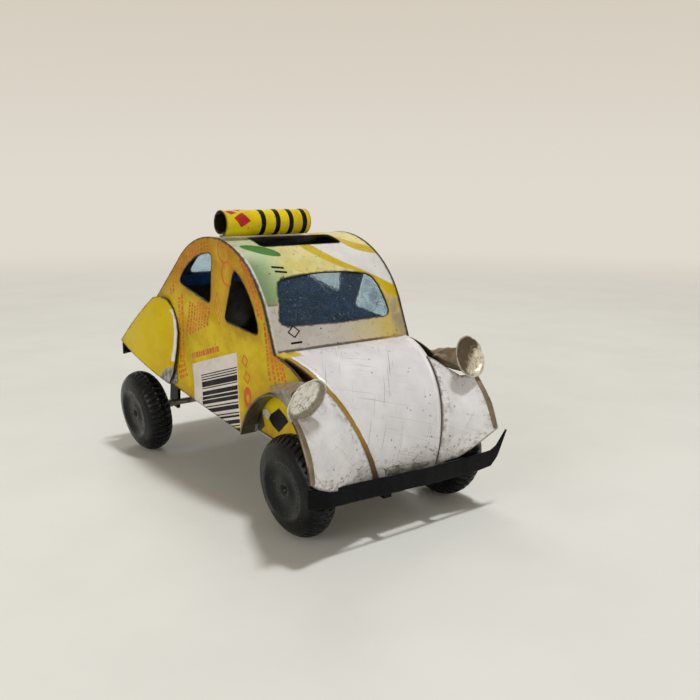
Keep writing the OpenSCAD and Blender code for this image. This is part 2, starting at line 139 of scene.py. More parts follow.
class Nodes:
    """A node tree whose nodes are added together with their inputs."""

    def __init__(self, tree):
        self.tree = tree

    def put(self, socket, value):
        if isinstance(value, Wire):
            self.tree.links.new(value.socket, socket)
        else:
            socket.default_value = value

    def add(self, kind, inputs=None, **settings):
        node = self.tree.nodes.new("ShaderNode" + kind)
        for key, value in settings.items():
            setattr(node, key, value)
        for key, value in (inputs or {}).items():
            self.put(node.inputs[key], value)
        return node

    def out(self, kind, inputs=None, output=0, **settings):
        """Output of a new node."""
        return Wire(self, self.add(kind, inputs, **settings).outputs[output])

    def op(self, kind, a, b=0.0):
        return self.out("Math", {0: a, 1: b}, operation=kind)

    def mix(self, fac, a, b, blend="MIX"):
        """Mix of two colours, each a wire or an 8-bit screen colour."""
        a, b = [c if isinstance(c, Wire) else rgb(*c) for c in (a, b)]
        return self.out("Mix", {0: fac, 6: a, 7: b}, 2, data_type="RGBA", blend_type=blend)

    def split(self, vector):
        node = self.add("SeparateXYZ", {0: vector})
        return [Wire(self, socket) for socket in node.outputs]

    def seen(self):
        """One for rays that show the background, zero for those that light the object."""
        rays = self.add("LightPath").outputs
        kinds = ("Camera", "Glossy", "Transmission")
        eye, gloss, through = [Wire(self, rays["Is %s Ray" % kind]) for kind in kinds]
        return self.op("MAXIMUM", self.op("MAXIMUM", eye, gloss), through)


class Shader(Nodes):
    """A Principled material with patches of two tones and textures in millimetres of the object's frame."""

    def __init__(self, name, color, second=None, *patches):
        self.color = color
        self.mat = bpy.data.materials.new(name)
        self.mat.use_nodes = True
        super().__init__(self.mat.node_tree)
        self.bsdf = self.tree.nodes["Principled BSDF"]
        coord = self.out("TexCoord", output="Object")
        self.mm = self.out("VectorMath", {0: coord, "Scale": 1 / MM}, operation="SCALE")
        self.z = self.split(self.mm)[2]
        self.uve = self.out("Attribute", output="Vector", attribute_name="sheet")
        self.u, self.v, self.edge = self.split(self.uve)
        if second:
            self.lay(self.spots(*patches), second)

    def stretch(self, scale, turn, vec=None):
        inputs = {"Vector": vec or self.mm, "Scale": scale, "Rotation": turn}
        return self.out("Mapping", inputs, vector_type="TEXTURE")

    def noise(self, scale, detail=4, rough=0.55, warp=0, vec=None):
        inputs = {"Vector": vec or self.mm, "Scale": scale, "Detail": detail, "Roughness": rough,
                  "Distortion": warp}
        return self.out("TexNoise", inputs)

    def cells(self, scale):
        return self.out("TexVoronoi", {"Vector": self.mm, "Scale": scale}, "Distance")

    def step(self, value, lo, hi):
        inputs = {"Value": value, "From Min": lo, "From Max": hi}
        return self.out("MapRange", inputs, interpolation_type="SMOOTHSTEP", clamp=True)

    def fall(self, value, lo, hi):
        return 1 - self.step(value, lo, hi)

    def spots(self, lo, hi, *texture):
        """Soft-edged patches where a noise rises from lo to hi."""
        return self.step(self.noise(*texture), lo, hi)

    def lay(self, mask, tint, blend="MIX"):
        """Lays a tint over the colour so far."""
        self.color = self.mix(mask, self.color, tint, blend)

    def bump(self, height, strength, distance):
        inputs = {"Strength": strength, "Distance": distance * MM, "Height": height}
        self.put(self.bsdf.inputs["Normal"], self.out("Bump", inputs))

    def finish(self, rough, metal=0, coat=0, spec=0.5):
        inputs = {"Base Color": self.color, "Roughness": rough, "Metallic": metal, "Coat Weight": coat,
                  "Coat Roughness": 0.18, "Specular IOR Level": spec}
        for key, value in inputs.items():
            self.put(self.bsdf.inputs[key], value)
        return self.mat


TIN = (168, 160, 142)
RUST = (104, 68, 34)
DIRT = (58, 48, 34)
SCUFF = (104, 92, 74)
SPECK = (26, 22, 18)
HAZE = (140, 120, 92)


def wear(s, chips, grime, edge_dark, specks, scratch=0.4, rough=0.3, dirt=DIRT, low_rust=0, soil=0):
    """Puts marks of use over a printed or painted colour, and returns its roughness and metal."""
    patchy = s.noise(0.11, 5, 0.6)
    s.lay(s.step(patchy, 0.45, 0.75) * grime, dirt, "MULTIPLY")
    s.lay(s.spots(0.56, 0.78, 1.6, 6, 0.65) * (grime * 0.55), dirt)
    if low_rust > 0:
        streaks = s.spots(0.53, 0.63, 1.3, 8, 0.75, 0.5, s.stretch((2.2, 2.2, 1), (0, 0.3, 0)))
        s.lay(s.step(17.5 - s.z, 0, 6) * 0.2, HAZE)
        s.lay(s.step(19.5 - s.z, 0, 6.5) * streaks * low_rust, RUST)
    if soil > 0:
        s.lay(s.spots(0.47, 0.64, 0.7, 7, 0.72, 0.3) * s.fall(s.edge, 0.2, 3.8) * soil, dirt)
    if edge_dark > 0:
        s.lay(s.fall(s.edge - s.noise(0.8, 4, 0.6) * 0.8, -0.3, 0.04) * edge_dark, dirt)
    metal = 0
    if chips > 0:
        chip = s.noise(0.9, 7, 0.72, 0.4) + s.fall(s.edge, 0, 2.2) * 0.09
        chip = s.step(chip, 0.73 - 0.07 * chips, 0.75 - 0.07 * chips)
        s.lay(chip, TIN)
        metal = chip * 0.75
    along = s.spots(0.67, 0.71, 1, 2, 0.5, 0, s.stretch((24, 0.2, 60), (0, 0, 0.7), s.uve))
    across = s.spots(0.68, 0.72, 1, 2, 0.5, 0, s.stretch((0.2, 20, 60), (0, 0, 0.35), s.uve))
    line = s.op("MAXIMUM", along, across)
    s.lay(line * scratch, dirt)
    if specks > 0:
        s.lay(s.fall(s.cells(0.62), 0.10, 0.17) * s.spots(0.47, 0.6, 0.45, 3) * specks, SPECK)
    s.bump(s.noise(0.35, 5) * 0.7 + line * -0.35, 0.35, 0.25)
    return s.step(patchy, 0.35, 0.75) * 0.22 + rough + line * 0.2, metal


def paint(name, a, b, marks, coat=0, blotch=0.18, spec=0.3, **kw):
    """Paint in two tones; marks are its chips, grime, dark edge, specks and scratches."""
    s = Shader(name, a, b, 0.36, 0.66, blotch, 4, 0.6)
    return s.finish(*wear(s, *marks, **kw), coat, spec)


def bare_metal(name, a, b, tarnish, amount=0.6, rough=0.34, crinkle=0.4, metal=0.85):
    s = Shader(name, a, b, 0.35, 0.68, 0.5, 5, 0.6)
    stain = s.spots(0.5, 0.72, 0.33, 6, 0.68, 0.5)
    s.lay(stain * amount, tarnish)
    brushed = s.noise(1, 3, 0.6, 0, s.stretch((3, 3, 0.16), (0.2, 0.1, 0.3)))
    s.lay(s.step(brushed, 0.5, 0.75) * 0.3, tarnish)
    s.bump(s.noise(0.7, 6, 0.6) + brushed * 0.3, crinkle, 0.35)
    return s.finish(stain * 0.28 + rough, metal - stain * 0.35)


def black_paint():
    s = Shader("black_paint", (4, 7, 9), (8, 12, 14), 0.4, 0.7, 0.3, 5)
    dust = s.spots(0.54, 0.78, 0.9, 7, 0.7)
    s.lay(dust * 0.04, (110, 104, 92))
    chip = s.spots(0.685, 0.7, 0.75, 8, 0.75, 0.6)
    s.lay(chip, (150, 138, 116))
    s.bump(s.noise(0.5, 6) + chip * -0.5, 0.2, 0.3)
    return s.finish(dust * 0.3 + 0.2, chip * 0.6, spec=0.1)


def rubber():
    s = Shader("rubber_black", (9, 11, 11), (15, 17, 17), 0.35, 0.7, 0.25)
    dust = s.spots(0.5, 0.8, 1.3, 7, 0.7)
    s.lay(dust * 0.05, (92, 90, 82))
    s.lay(s.fall(s.cells(1.1), 0.06, 0.14) * s.spots(0.56, 0.66, 0.4, 3) * 0.6, (150, 145, 132))
    s.bump(s.noise(2.2, 6, 0.6) + s.noise(0.4, 3) * 1.5, 0.07, 0.2)
    return s.finish(dust * 0.2 + 0.27, spec=0.17)


def solder_metal():
    s = Shader("solder_grey", (96, 98, 92), (176, 176, 168), 0.35, 0.65, 0.8, 6, 0.65)
    s.lay(s.spots(0.52, 0.7, 0.5, 5) * 0.4, (58, 42, 24))
    s.bump(s.noise(1.1, 7, 0.7), 0.7, 0.5)
    return s.finish(s.noise(1.2, 5) * 0.4 + 0.25, 0.65)


def film(name, tone, dust, pale, cover):
    """Clear tinted film with fine opaque grains in the dust tone, pale flecks and wipe marks; on the
    windscreen the dark grains are partly its blue and partly painted shade of the dark inside.
    """
    s = Shader(name, tone)
    haze = s.spots(0.42, 0.7, 0.22, 6, 0.7)
    # Opaque grains in the dust tone; on the windscreen partly painted shade
    grain = s.step(s.noise(9, 2, 0.6) + haze * 0.06, 0.6 - cover, 0.64 - cover)
    s.lay(grain, dust)
    wipe = s.spots(0.62, 0.7, 1, 4, 0.65, 0, s.stretch((9, 0.25, 9), (0.5, 0.3, 0.7)))
    flecks = s.op("MAXIMUM", s.spots(0.6, 0.66, 2.2, 8, 0.75) * 0.55, wipe * 0.3)
    s.lay(flecks, pale)
    s.put(s.bsdf.inputs["Transmission Weight"], 1 - s.op("MAXIMUM", grain, flecks))
    s.put(s.bsdf.inputs["IOR"], 1.18)
    s.bump(s.noise(0.16), 0.35, 1.2)
    return s.finish(flecks * 0.6 + 0.08)


def strip_print():
    """Roof strip: teal on the car's right, cream in the middle, lavender to yellow below the screen."""
    s = Shader("strip_print", (222, 214, 150), (212, 198, 112), 0.38, 0.66, 0.13)
    wobble = (s.noise(0.16) - 0.5) * 4
    across = s.v + wobble
    green = s.mix(s.step(across, -17.4, -11), (104, 138, 96), (168, 188, 134))
    green = s.mix(s.step(s.u, 19, 25), green, (190, 204, 170))
    s.lay(s.fall(across, -13.5, -6) * s.step(s.u, 9.8, 10.3) * s.fall(s.u, 30, 42), green)
    band = s.mix(s.step(s.v, -5, 15), (196, 190, 184), (204, 190, 126))
    s.lay(s.fall(s.u + wobble * 0.1, 9.8, 10.2), band)
    seam = s.fall(s.op("ABSOLUTE", s.u - 10.1), 0.12, 0.24) * s.fall(s.v, -14, -12.5)
    s.lay(seam * 0.75, (84, 84, 76))
    s.lay(s.fall(s.u + s.noise(0.9) * 0.5, 0.55, 0.9) * 0.85, (52, 42, 28))
    s.lay(s.step(across, 8, 15) * s.fall(s.u, 15, 22) * 0.6, (208, 176, 66))
    bare = s.step(s.v, 13.8, 15.6) * s.fall(s.u, 11, 16) * s.spots(0.36, 0.6, 0.3, 7, 0.62, 0.8)
    s.lay(bare * 0.85, (150, 143, 126))
    s.lay(s.fall(s.v + wobble * 0.1, -17.5, -17), (206, 208, 204))
    s.lay(s.spots(0.52, 0.66, 0.6, 7, 0.72, 0.3) * s.fall(s.edge, 0.3, 4.5) * 0.6, (150, 128, 78))
    return s.finish(*wear(s, 0.35, 0.2, 0.9, 0.85, 0.2), spec=0.35)


def bonnet_white():
    """White enamel with a yellow corner, a yellow-brown fold on the right with painted shade along both edges
    and over its flange, and rust along the foot.
    """
    s = Shader("bonnet_white", (228, 228, 230), (216, 216, 219), 0.36, 0.68, 0.1, 4, 0.6)
    wobble = (s.noise(0.6, 5) - 0.5) * 1.4
    # Stripe of the right fold: painted shadow, dark, at its outer edge and over the flange; golden between;
    # painted shade, darker, along its inner edge; browner towards the foot
    fold_tone_and_shade = s.mix(s.step(s.v, 0.1, 0.5), (56, 36, 6), (164, 128, 12))
    fold_tone_and_shade = s.mix(s.step(s.v, 1.05, 1.3), fold_tone_and_shade, (84, 58, 14))
    fold_tone_and_shade = s.mix(s.step(s.u, 12, 3), fold_tone_and_shade, (84, 50, 18))
    s.lay(s.fall(s.v + wobble * 0.3, 1.2, 1.4), fold_tone_and_shade)
    s.lay(s.step(s.u + wobble, 31.2, 32.2) * s.fall(s.v + wobble, 4.4, 5.2), (204, 176, 40))
    marks = wear(s, 0.3, 0.07, 0.3, 0.75, 0.75, rough=0.24, low_rust=0.9, soil=0.4, dirt=SCUFF)
    return s.finish(*marks, coat=0.15, spec=0.4)


def panel_yellow():
    """Golden can print, more orange towards the roof, with painted shade darkening it towards its edges."""
    s = Shader("panel_yellow", (210, 186, 18), (194, 162, 8), 0.36, 0.66, 0.16, 4, 0.6)
    high = s.mix(s.spots(0.36, 0.66, 0.2, 4, 0.6), (198, 158, 18), (180, 136, 14))
    s.lay(s.step(s.z + s.noise(0.1) * 8, 40, 58), high)
    # Painted shade: a reddish-brown darkening over the last few millimetres towards the edges
    s.lay(s.fall(s.edge + s.noise(0.3) * 1.5, 0.4, 4) * 0.42, (148, 82, 10))
    return s.finish(*wear(s, 0.3, 0.3, 0.9, 0.4, 0.2, 0.34), spec=0.15)


def lamp_foil(name, lit_face, shade, floor_r=None):
    """Crumpled foil with painted light: with floor_r a bright floor and a wall in painted shade, else painted
    shade all but the lit side; painted shade in its creases and a painted highlight along the rim; u is the
    radius, v runs to the lit side.
    """
    s = Shader(name, lit_face)
    stain = s.spots(0.46, 0.66, 0.55, 6, 0.7, 0.4)
    s.lay(stain * 0.1, shade)
    # Painted light: the bowl's wall, or all but the lit side, is laid in painted shade
    if floor_r:
        s.lay(s.step(s.u + s.v * 0.24 + s.noise(0.9) * 0.8, floor_r, floor_r + 0.7) * 0.85, shade)
    else:
        s.lay(s.fall(s.v + s.noise(0.9, 6, 0.65) * 5, 2.6, 4.6), shade)
    # Painted highlight along the rim
    s.lay(s.step(s.u, 4.3, 4.5) * 0.6, lit_face)
    pit = s.fall(s.cells(1.3), 0.1, 0.2) * s.spots(0.48, 0.6, 0.5, 3)
    s.lay(pit * 0.8, (58, 40, 22))
    # Creases drawn in the shade colour: painted shade
    crack = s.fall(s.op("ABSOLUTE", s.noise(0.3, 4, 0.6, 0.6) - 0.5), 0.003, 0.016)
    s.lay(crack * 0.75, shade)
    s.bump(s.noise(0.8, 6, 0.65) + pit * -0.6, 0.45, 0.4)
    return s.finish(stain * 0.2 + 0.3, 0.45)


M_PANEL = panel_yellow()
M_INK = paint("ink_orange", (206, 100, 4), (184, 78, 4), (0.2, 0.2, 0, 0.2))
M_LABEL = paint("label_white", (218, 212, 204), (208, 202, 194), (0.15, 0.12, 0.6, 0.3, 0.25))
M_BAR = paint("bar_black", (11, 11, 12), (18, 18, 19), (0.12, 0.05, 0, 0, 0), spec=0.1)
M_WING = paint("wing_yellow", (210, 184, 2), (200, 170, 0), (0.2, 0.06, 0.7, 0.35, 0.1), coat=0.1,
               blotch=0.08, spec=0.15, rough=0.12)
# Backs of the sheets and the car's inside: tarnished tin darkened by painted shade
M_INSIDE_SHADED = bare_metal("tin_inside_shaded", (62, 50, 33), (44, 35, 22), (28, 21, 13), 0.7, 0.45, 0.3, 0.4)
M_TIN = bare_metal("tin_bare", (176, 170, 156), (142, 136, 122), (88, 72, 48))
M_LINER = bare_metal("tin_liner", (120, 116, 96), (94, 90, 72), (56, 50, 36))
M_RIM = bare_metal("rim_tin", (136, 122, 100), (112, 98, 78), (76, 58, 38), 0.5, 0.36, 0.2, 0.6)
M_LAMP = lamp_foil("lamp_foil_right", (252, 250, 240), (112, 102, 80), 3.7)
# The left lamp's foil is a darker copy of the right's: painted shade
M_LAMP_LEFT_SHADED = lamp_foil("lamp_foil_left_shaded", (214, 207, 186), (86, 72, 52))
M_BLACK = black_paint()
M_RUBBER = rubber()
M_SOLDER = solder_metal()
# Windscreen film: its navy grains are partly the film's blue and partly painted shade of the dark inside seen
# through it
M_FILM = film("film_blue", (216, 244, 255), (16, 52, 90), (120, 150, 168), 0.05)
M_FILM_REAR = film("film_rear", (206, 234, 252), (90, 140, 190), (160, 182, 198), 0)
M_HEM = paint("film_hem", (58, 122, 214), (48, 104, 190), (0, 0.4, 0, 0.2))
M_STRIP = strip_print()
M_BAND_Y = paint("band_yellow", (200, 176, 20), (190, 162, 12), (0.25, 0.15, 0.6, 0.4))
M_BAND_W = paint("band_white", (222, 222, 218), (212, 212, 210), (0.25, 0.12, 0.6, 0.4))
M_GREEN = paint("oval_green", (58, 124, 44), (44, 104, 34), (0.25, 0.2, 0, 0.3))
M_BONNET = bonnet_white()
M_WHITE = paint("wing_white", (228, 228, 229), (216, 216, 218), (0.3, 0.08, 0.75, 0.7, 0.6), coat=0.15,
                rough=0.24, low_rust=0.9, soil=0.6, dirt=SCUFF)
M_ROLL = paint("roll_yellow", (230, 206, 4), (216, 188, 2), (0.25, 0.1, 0.5, 0.5), coat=0.2, spec=0.15,
               rough=0.2)
# Inside of the roll: darkened by painted shade
M_ROLL_IN_SHADED = paint("roll_inside_shaded", (50, 42, 20), (36, 30, 14), (0.5, 0.5, 0, 0.5))
M_RED = paint("motif_red", (192, 44, 26), (176, 34, 22), (0.2, 0.4, 0, 0.2))

# Mesh building

PLAIN = (0, 0, 3)


def link(name, data):
    obj = bpy.data.objects.new(name, data)
    scene.collection.objects.link(obj)
    return obj


def make(name, verts, faces, mats, node=None, body="body", index=None, sheet=None, crisp=38):
    """Closed mesh in millimetres that rides on a body and stands for a CAD node."""
    mesh = bpy.data.meshes.new(name)
    mesh.from_pydata([tuple(float(c) * MM for c in v) for v in verts], [], [tuple(f) for f in faces])
    for m in mats:
        mesh.materials.append(m)
    if index is not None:
        mesh.polygons.foreach_set("material_index", np.array(index, dtype=np.int32))
    layer = mesh.attributes.new("sheet", "FLOAT_VECTOR", "POINT")
    layer.data.foreach_set("vector", np.array(sheet or [PLAIN] * len(verts), dtype=np.float32).ravel())
    bm = bmesh.new()
    bm.from_mesh(mesh)
    bmesh.ops.recalc_face_normals(bm, faces=bm.faces[:])
    bm.to_mesh(mesh)
    bm.free()
    mesh.shade_smooth()
    mesh.set_sharp_from_angle(angle=radians(crisp))
    obj = link(name, mesh)
    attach(obj, body)
    if node:
        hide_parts(node)


def loop_edges(loops):
    """Both ends of every edge of closed loops."""
    for loop in loops:
        points = np.array(loop)
        yield from zip(points, np.roll(points, -1, axis=0))


def dense(loop, step):
    """Closed loop with no edge longer than step."""
    out = []
    for a, b in loop_edges([loop]):
        k = max(1, int(ceil(norm(b - a) / step)))
        out += [a + (b - a) * j / k for j in range(k)]
    return np.array(out)


def inside(points, loops):
    """Even-odd test of points against closed loops."""
    hit = np.zeros(len(points), bool)
    x, y = points[:, 0], points[:, 1]
    for (ax, ay), (bx, by) in loop_edges(loops):
        if by != ay:
            hit ^= ((ay > y) != (by > y)) & (x < (bx - ax) * (y - ay) / (by - ay) + ax)
    return hit


def distance(points, loops):
    """Distance of points to the nearest edge of closed loops."""
    best = np.full(len(points), 1e9)
    for p, q in loop_edges(loops):
        d = q - p
        t = np.clip(((points - p) @ d) / max(1e-12, d @ d), 0, 1)
        best = np.minimum(best, norm(points - p - t[:, None] * d, axis=1))
    return best


def sheet_piece(name, loops, place, front, behind, node=None, step=1, thick=SHEET, prints=(),
                dent=0.16, seed=0, scale=0.13, fade=3, relief=None):
    """Thin closed sheet over loops in (u, v); prints are (loop, material) regions of its front."""
    loops = [dense(loop, step) for loop in loops]
    ink_loops = [dense(loop, step) for loop, _ in prints]
    pts, edges = [], []
    for loop in loops + ink_loops:
        k = len(pts)
        pts += [Vector(p) for p in loop]
        edges += [(k + i, k + (i + 1) % len(loop)) for i in range(len(loop))]
    lo, hi = np.min(loops[0], axis=0), np.max(loops[0], axis=0)
    rows = int((hi[1] - lo[1]) / (step * 0.87)) + 1
    cols = int((hi[0] - lo[0]) / step) + 1
    grid = np.array([(lo[0] + (i + 0.5 * (j % 2)) * step, lo[1] + j * step * 0.87)
                     for j in range(rows + 1) for i in range(cols + 1)])
    keep = inside(grid, loops) & (distance(grid, loops) > 0.45 * step)
    keep &= distance(grid, ink_loops) > 0.3 * step
    pts += [Vector(p) for p in grid[keep]]
    out = delaunay_2d_cdt(pts, edges, [], 0, 1e-5)
    uv = np.array([(p.x, p.y) for p in out[0]])
    tris = np.array(out[2])
    corners = uv[tris]
    mid = corners.mean(axis=1)
    ab, ac = corners[:, 1] - corners[:, 0], corners[:, 2] - corners[:, 0]
    ok = inside(mid, loops) & (np.abs(ab[:, 0] * ac[:, 1] - ac[:, 0] * ab[:, 1]) > 1e-9)
    used, tris = np.unique(tris[ok], return_inverse=True)
    uv, tris, mid = uv[used], tris.reshape(-1, 3), mid[ok]
    mats = [front, behind]
    ink = np.zeros(len(tris), int)
    for loop, (_, m) in zip(ink_loops, prints):
        if m not in mats:
            mats.append(m)
        ink[inside(mid, [loop])] = mats.index(m)
    rim = distance(uv, loops)
    top, low = [], []
    for (u, v), e in zip(uv, rim):
        h = dent * smooth(0, fade, e) * (fbm(u * scale, v * scale, seed) - 0.25)
        if relief:
            h += relief(u, v, e)
        top.append(place(u, v, h))
        low.append(place(u, v, h - thick))
    n = len(uv)
    faces = [tuple(t) for t in tris] + [tuple(t[::-1] + n) for t in tris]
    sides = {(a, b): 1 for t in tris for a, b in ((t[0], t[1]), (t[1], t[2]), (t[2], t[0]))}
    faces += [(a, a + n, b + n, b) for a, b in sides if (b, a) not in sides]
    index = list(ink) + [1] * (len(faces) - len(ink))
    tags = [(u, v, e) for (u, v), e in zip(uv, rim)] * 2
    make(name, top + low, faces, mats, node, index=index, sheet=tags)


def node_loops(node, place):
    """Outline loops, in (u, v), of the outer surface of a CAD node that lies along X and Z."""
    mesh = frame["nodes"][node].data
    co = np.array([v.co for v in mesh.vertices]) / MM
    keys = {}
    ids = [keys.setdefault(tuple(np.round(p, 3)), len(keys)) for p in co]
    points = dict(zip(ids, co))
    outer = {i for i, (x, y, z) in points.items() if abs(y - place(x, z, 0)[1]) < 0.04}
    edges = {}
    for poly in mesh.polygons:
        t = [ids[i] for i in poly.vertices]
        if len(set(t)) > 2 and outer.issuperset(t):
            edges.update({pair: 1 for pair in zip(t, t[1:] + t[:1])})
    ahead = {a: b for a, b in edges if (b, a) not in edges}
    loops = []
    while ahead:
        loop = [next(iter(ahead))]
        while loop[-1] in ahead:
            loop.append(ahead.pop(loop[-1]))
        loops.append(np.array([points[i][[0, 2]] for i in loop[:-1]]))
    return sorted(loops, key=lambda loop: -np.prod(np.ptp(loop, axis=0)))


def ring_faces(first, rings, m):
    """Quads between neighbouring rings of m points."""
    faces = []
    for a in range(first, first + (rings - 1) * m, m):
        for j in range(m):
            k = (j + 1) % m
            faces.append((a + j, a + k, a + m + k, a + m + j))
    return faces


def fan(tip, first, m):
    """Triangles between a point and a ring of m points."""
    return [(tip, first + (j + 1) % m, first + j) for j in range(m)]


def tube(name, rings, mat, node, crisp):
    """Closed tube through rings of points and their sheet values, with capped ends."""
    m = len(rings[0])
    last = (len(rings) - 1) * m
    verts, sheet = zip(*(point for ring in rings for point in ring))
    faces = ring_faces(0, len(rings), m) + [tuple(range(m)), tuple(range(last, last + m))]
    make(name, verts, faces, [mat], node, sheet=sheet, crisp=crisp)


def turns(n):
    """Angles of n equal parts of a turn."""
    return [2 * pi * j / n for j in range(n)]


def poly_turn(points, at, angle):
    c, s = cos(angle), sin(angle)
    return [(at[0] + c * x - s * y, at[1] + s * x + c * y) for x, y in points]


def quad(u0, v0, u1, v1):
    return [(u0, v0), (u1, v0), (u1, v1), (u0, v1)]


def round_quad(cx, cy, w, h, r, n=6):
    out = []
    for k, (sx, sy) in enumerate(((1, 1), (-1, 1), (-1, -1), (1, -1))):
        for i in range(n + 1):
            a = pi / 2 * (k + i / n)
            out.append((cx + sx * (w / 2 - r) + r * cos(a), cy + sy * (h / 2 - r) + r * sin(a)))
    return out


def circle(c, r, n=40, tall=1):
    return [(c[0] + r * cos(t), c[1] + tall * r * sin(t)) for t in np.linspace(0, 2 * pi, n + 1)[:-1]]


def lozenge(c, w, h, turn=0):
    return poly_turn([(-w, 0), (0, -h), (w, 0), (0, h)], c, turn)


def nested(c, w, h, turn, layers):
    """Lozenges inside one another; layers are (scale, material)."""
    return [(lozenge(c, w * scale, h * scale, turn), m) for scale, m in layers]


# Side panels


def panel_map(side, y):
    return lambda u, v, h: (u, side * (y + h), v)


def dashes(rows, rand):
    """Rows of short printed dashes: rows are (start, direction angle, length, height)."""
    out = []
    for start, angle, length, height in rows:
        s = 0
        while s < length:
            rand = (rand * 7.13 + 0.37) % 1
            w = 0.35 + 0.8 * rand
            if s + w > length:
                break
            out.append((poly_turn(quad(s, 0, s + w, height), start, angle), M_INK))
            s += w + 0.28
    return out


def roof_height(x, inset):
    return ROOF_C[1] + sqrt(max(0, (ROOF_R - inset) ** 2 - (x - ROOF_C[0]) ** 2))


def roof_rows():
    """Short columns of dashes under the roof's edge."""
    rows = []
    for k in range(15):
        x = -23.2 + 1.45 * k
        z = max(42.4, roof_height(x, 3.1))
        rows.append(((x, z), 1.52, roof_height(x, 0.9) - z, 0.8))
    return rows


LABEL_AT = np.array([-12.3, 26.9])
LABEL_ALONG = np.array([20.4, 6.1])
LABEL_DOWN = np.array([1.4, -16.4])
LABEL_H = 16.4
BARS = (
    (0.25, 0.3), (0.25, 0.3), (0.3, 0.3), (1.3, 0.2), (0.25, 0.55), (1, 0.25), (0.7, 0.2), (0.9, 0.55),
    (0.3, 0.3), (1, 0.7), (0.3, 0.3), (0.5, 0.55), (0.9, 0.35), (0.3, 0.45), (0.6, 0.3), (0.8, 0.4),
    (0.4, 0.3))
PILLAR_ROWS = ((11, 53.6, -0.84, 5.2), (14.5, 49.8, -1, 5.4), (17.4, 45.2, -1.33, 3.8))
TWO_INKS = ((1, M_INK), (0.66, M_PANEL))
FOUR_INKS = ((1, M_INK), (0.84, M_PANEL), (0.5, M_INK), (0.36, M_PANEL))


def label(a0, b0, a1, b1):
    """Region of the slanting label, in parts of its length and height."""
    corners = ((a0, b0), (a0, b1), (a1, b1), (a1, b0))
    return [tuple(LABEL_AT + LABEL_ALONG * a + LABEL_DOWN * b) for a, b in corners]


def right_prints():
    """Label with plain bars, columns of fine dashes, rings and lozenges in the can's colours."""
    out = [(label(0, 0, 1, 1), M_LABEL)]
    b = 0.19
    for w, gap in BARS:
        out.append((label(0.185, b, 0.99, b + w / LABEL_H), M_BAR))
        b += (w + gap) / LABEL_H
    rows = [((-12, 28.2), atan2(6.1, 20.4), 13.5, 1.3)]
    rows += [((-14.4 + 1.5 * k, 33.2 + 0.55 * k), 1.32, 9.4 - 0.55 * k, 0.85) for k in range(8)]
    rows += roof_rows()
    rows += [((-17.8 + 1.5 * k, 26.4), 1.55, 17, 0.85) for k in range(2)]
    rows += [((-19.4 + 0.3 * k, 24.4 - 1.2 * k), 0.35, 4.6, 0.8) for k in range(3)]
    rows += [((19.3 + 1.6 * k, 41 - 1.9 * k), -1.4 + 0.06 * k, 13 - 1.6 * k, 0.8) for k in range(5)]
    for k in range(2):
        rows += [((x - 0.9 * k, z - 0.5 * k), turn, length, 0.7) for x, z, turn, length in PILLAR_ROWS]
    out += dashes(rows, 0.31)
    for c in ((3.8, 54.6), (5.2, 49.8)):
        out += [(circle(c, 2.75), M_INK), (circle(c, 2.3), M_PANEL)]
    out += nested((0.6, 41.6), 1.9, 3.9, 0.1, FOUR_INKS)
    for c in ((11.6, 31.7), (12.5, 28.2)):
        out += nested(c, 1.5, 1.5, 0.3, TWO_INKS)
    out += [(circle((12.7, 23.9), 1.55, 32, 1.5), M_INK), (circle((12.9, 23.6), 0.55, 24, 1.6), M_PANEL)]
    return out


def left_prints():
    """Rows of dashes, a plain label and lozenges; this side is not seen in the photo."""
    rows = [((-15 + 0.3 * k, 40.6 - 2.3 * k), 0, 9, 0.8) for k in range(6)]
    rows += [((2, 35.6 - 2.2 * k), 0, 8.5, 0.8) for k in range(5)]
    rows += roof_rows()
    rows += [((19.3 + 1.6 * k, 40 - 1.9 * k), -1.4 + 0.06 * k, 12 - 1.6 * k, 0.8) for k in range(4)]
    out = dashes(rows, 0.57) + [(quad(-14.5, 21, 8, 24.6), M_LABEL)]
    for k in range(9):
        out.append((quad(-12.5 + 2.2 * k, 21.8, -12.5 + 2.2 * k + 0.5 + 0.2 * (k % 3), 23.8), M_BAR))
    for c in ((12.4, 31), (13.2, 26.6)):
        out += nested(c, 1.7, 1.7, 0.3, TWO_INKS)
    return out


def hand_cut(loop):
    """Closed loop with the soft corners of a hole cut with snips."""
    points = dense(loop, 0.2)
    for _ in range(45):
        points = (np.roll(points, 1, axis=0) + 2 * points + np.roll(points, -1, axis=0)) / 4
    return points[::3]


for (side, sign), printed in zip(SIDES, (right_prints(), left_prints())):
    place = panel_map(sign, HALF_W)
    loops = node_loops("side_panel_" + side, place)
    sheet_piece("panel_" + side, loops[:1] + [hand_cut(hole) for hole in loops[1:]], place, M_PANEL, M_INSIDE_SHADED,
                "side_panel_" + side, prints=printed, dent=0.22, seed=3 + sign, scale=0.11)

# Roof strip and films


def turn_at(p, s):
    d = p - ROOF_C
    return atan2(d[1], d[0]) + s * acos(ROOF_R / norm(d))


A_SCREEN = turn_at(SCREEN_P, 1) + radians(0.3)
A_TAIL = turn_at(TAIL_P, -1) + 2 * pi - radians(0.1)
N_SCREEN = polar(A_SCREEN)
N_TAIL = polar(A_TAIL)
D_SCREEN = float((SCREEN_P - ROOF_C) @ N_SCREEN)
D_TAIL = float((TAIL_P - ROOF_C) @ N_TAIL)
T_SCREEN = np.array([-N_SCREEN[1], N_SCREEN[0]])
T_TAIL = np.array([-N_TAIL[1], N_TAIL[0]])
S_ARC = float((ROOF_C + D_SCREEN * N_SCREEN - SCREEN_P) @ T_SCREEN)
S_TOP = S_ARC + ROOF_R * (pi / 2 - A_SCREEN)
S_TAIL = S_ARC + ROOF_R * (A_TAIL - A_SCREEN)
S_END = S_TAIL + float((TAIL_P - ROOF_C - D_TAIL * N_TAIL) @ T_TAIL)


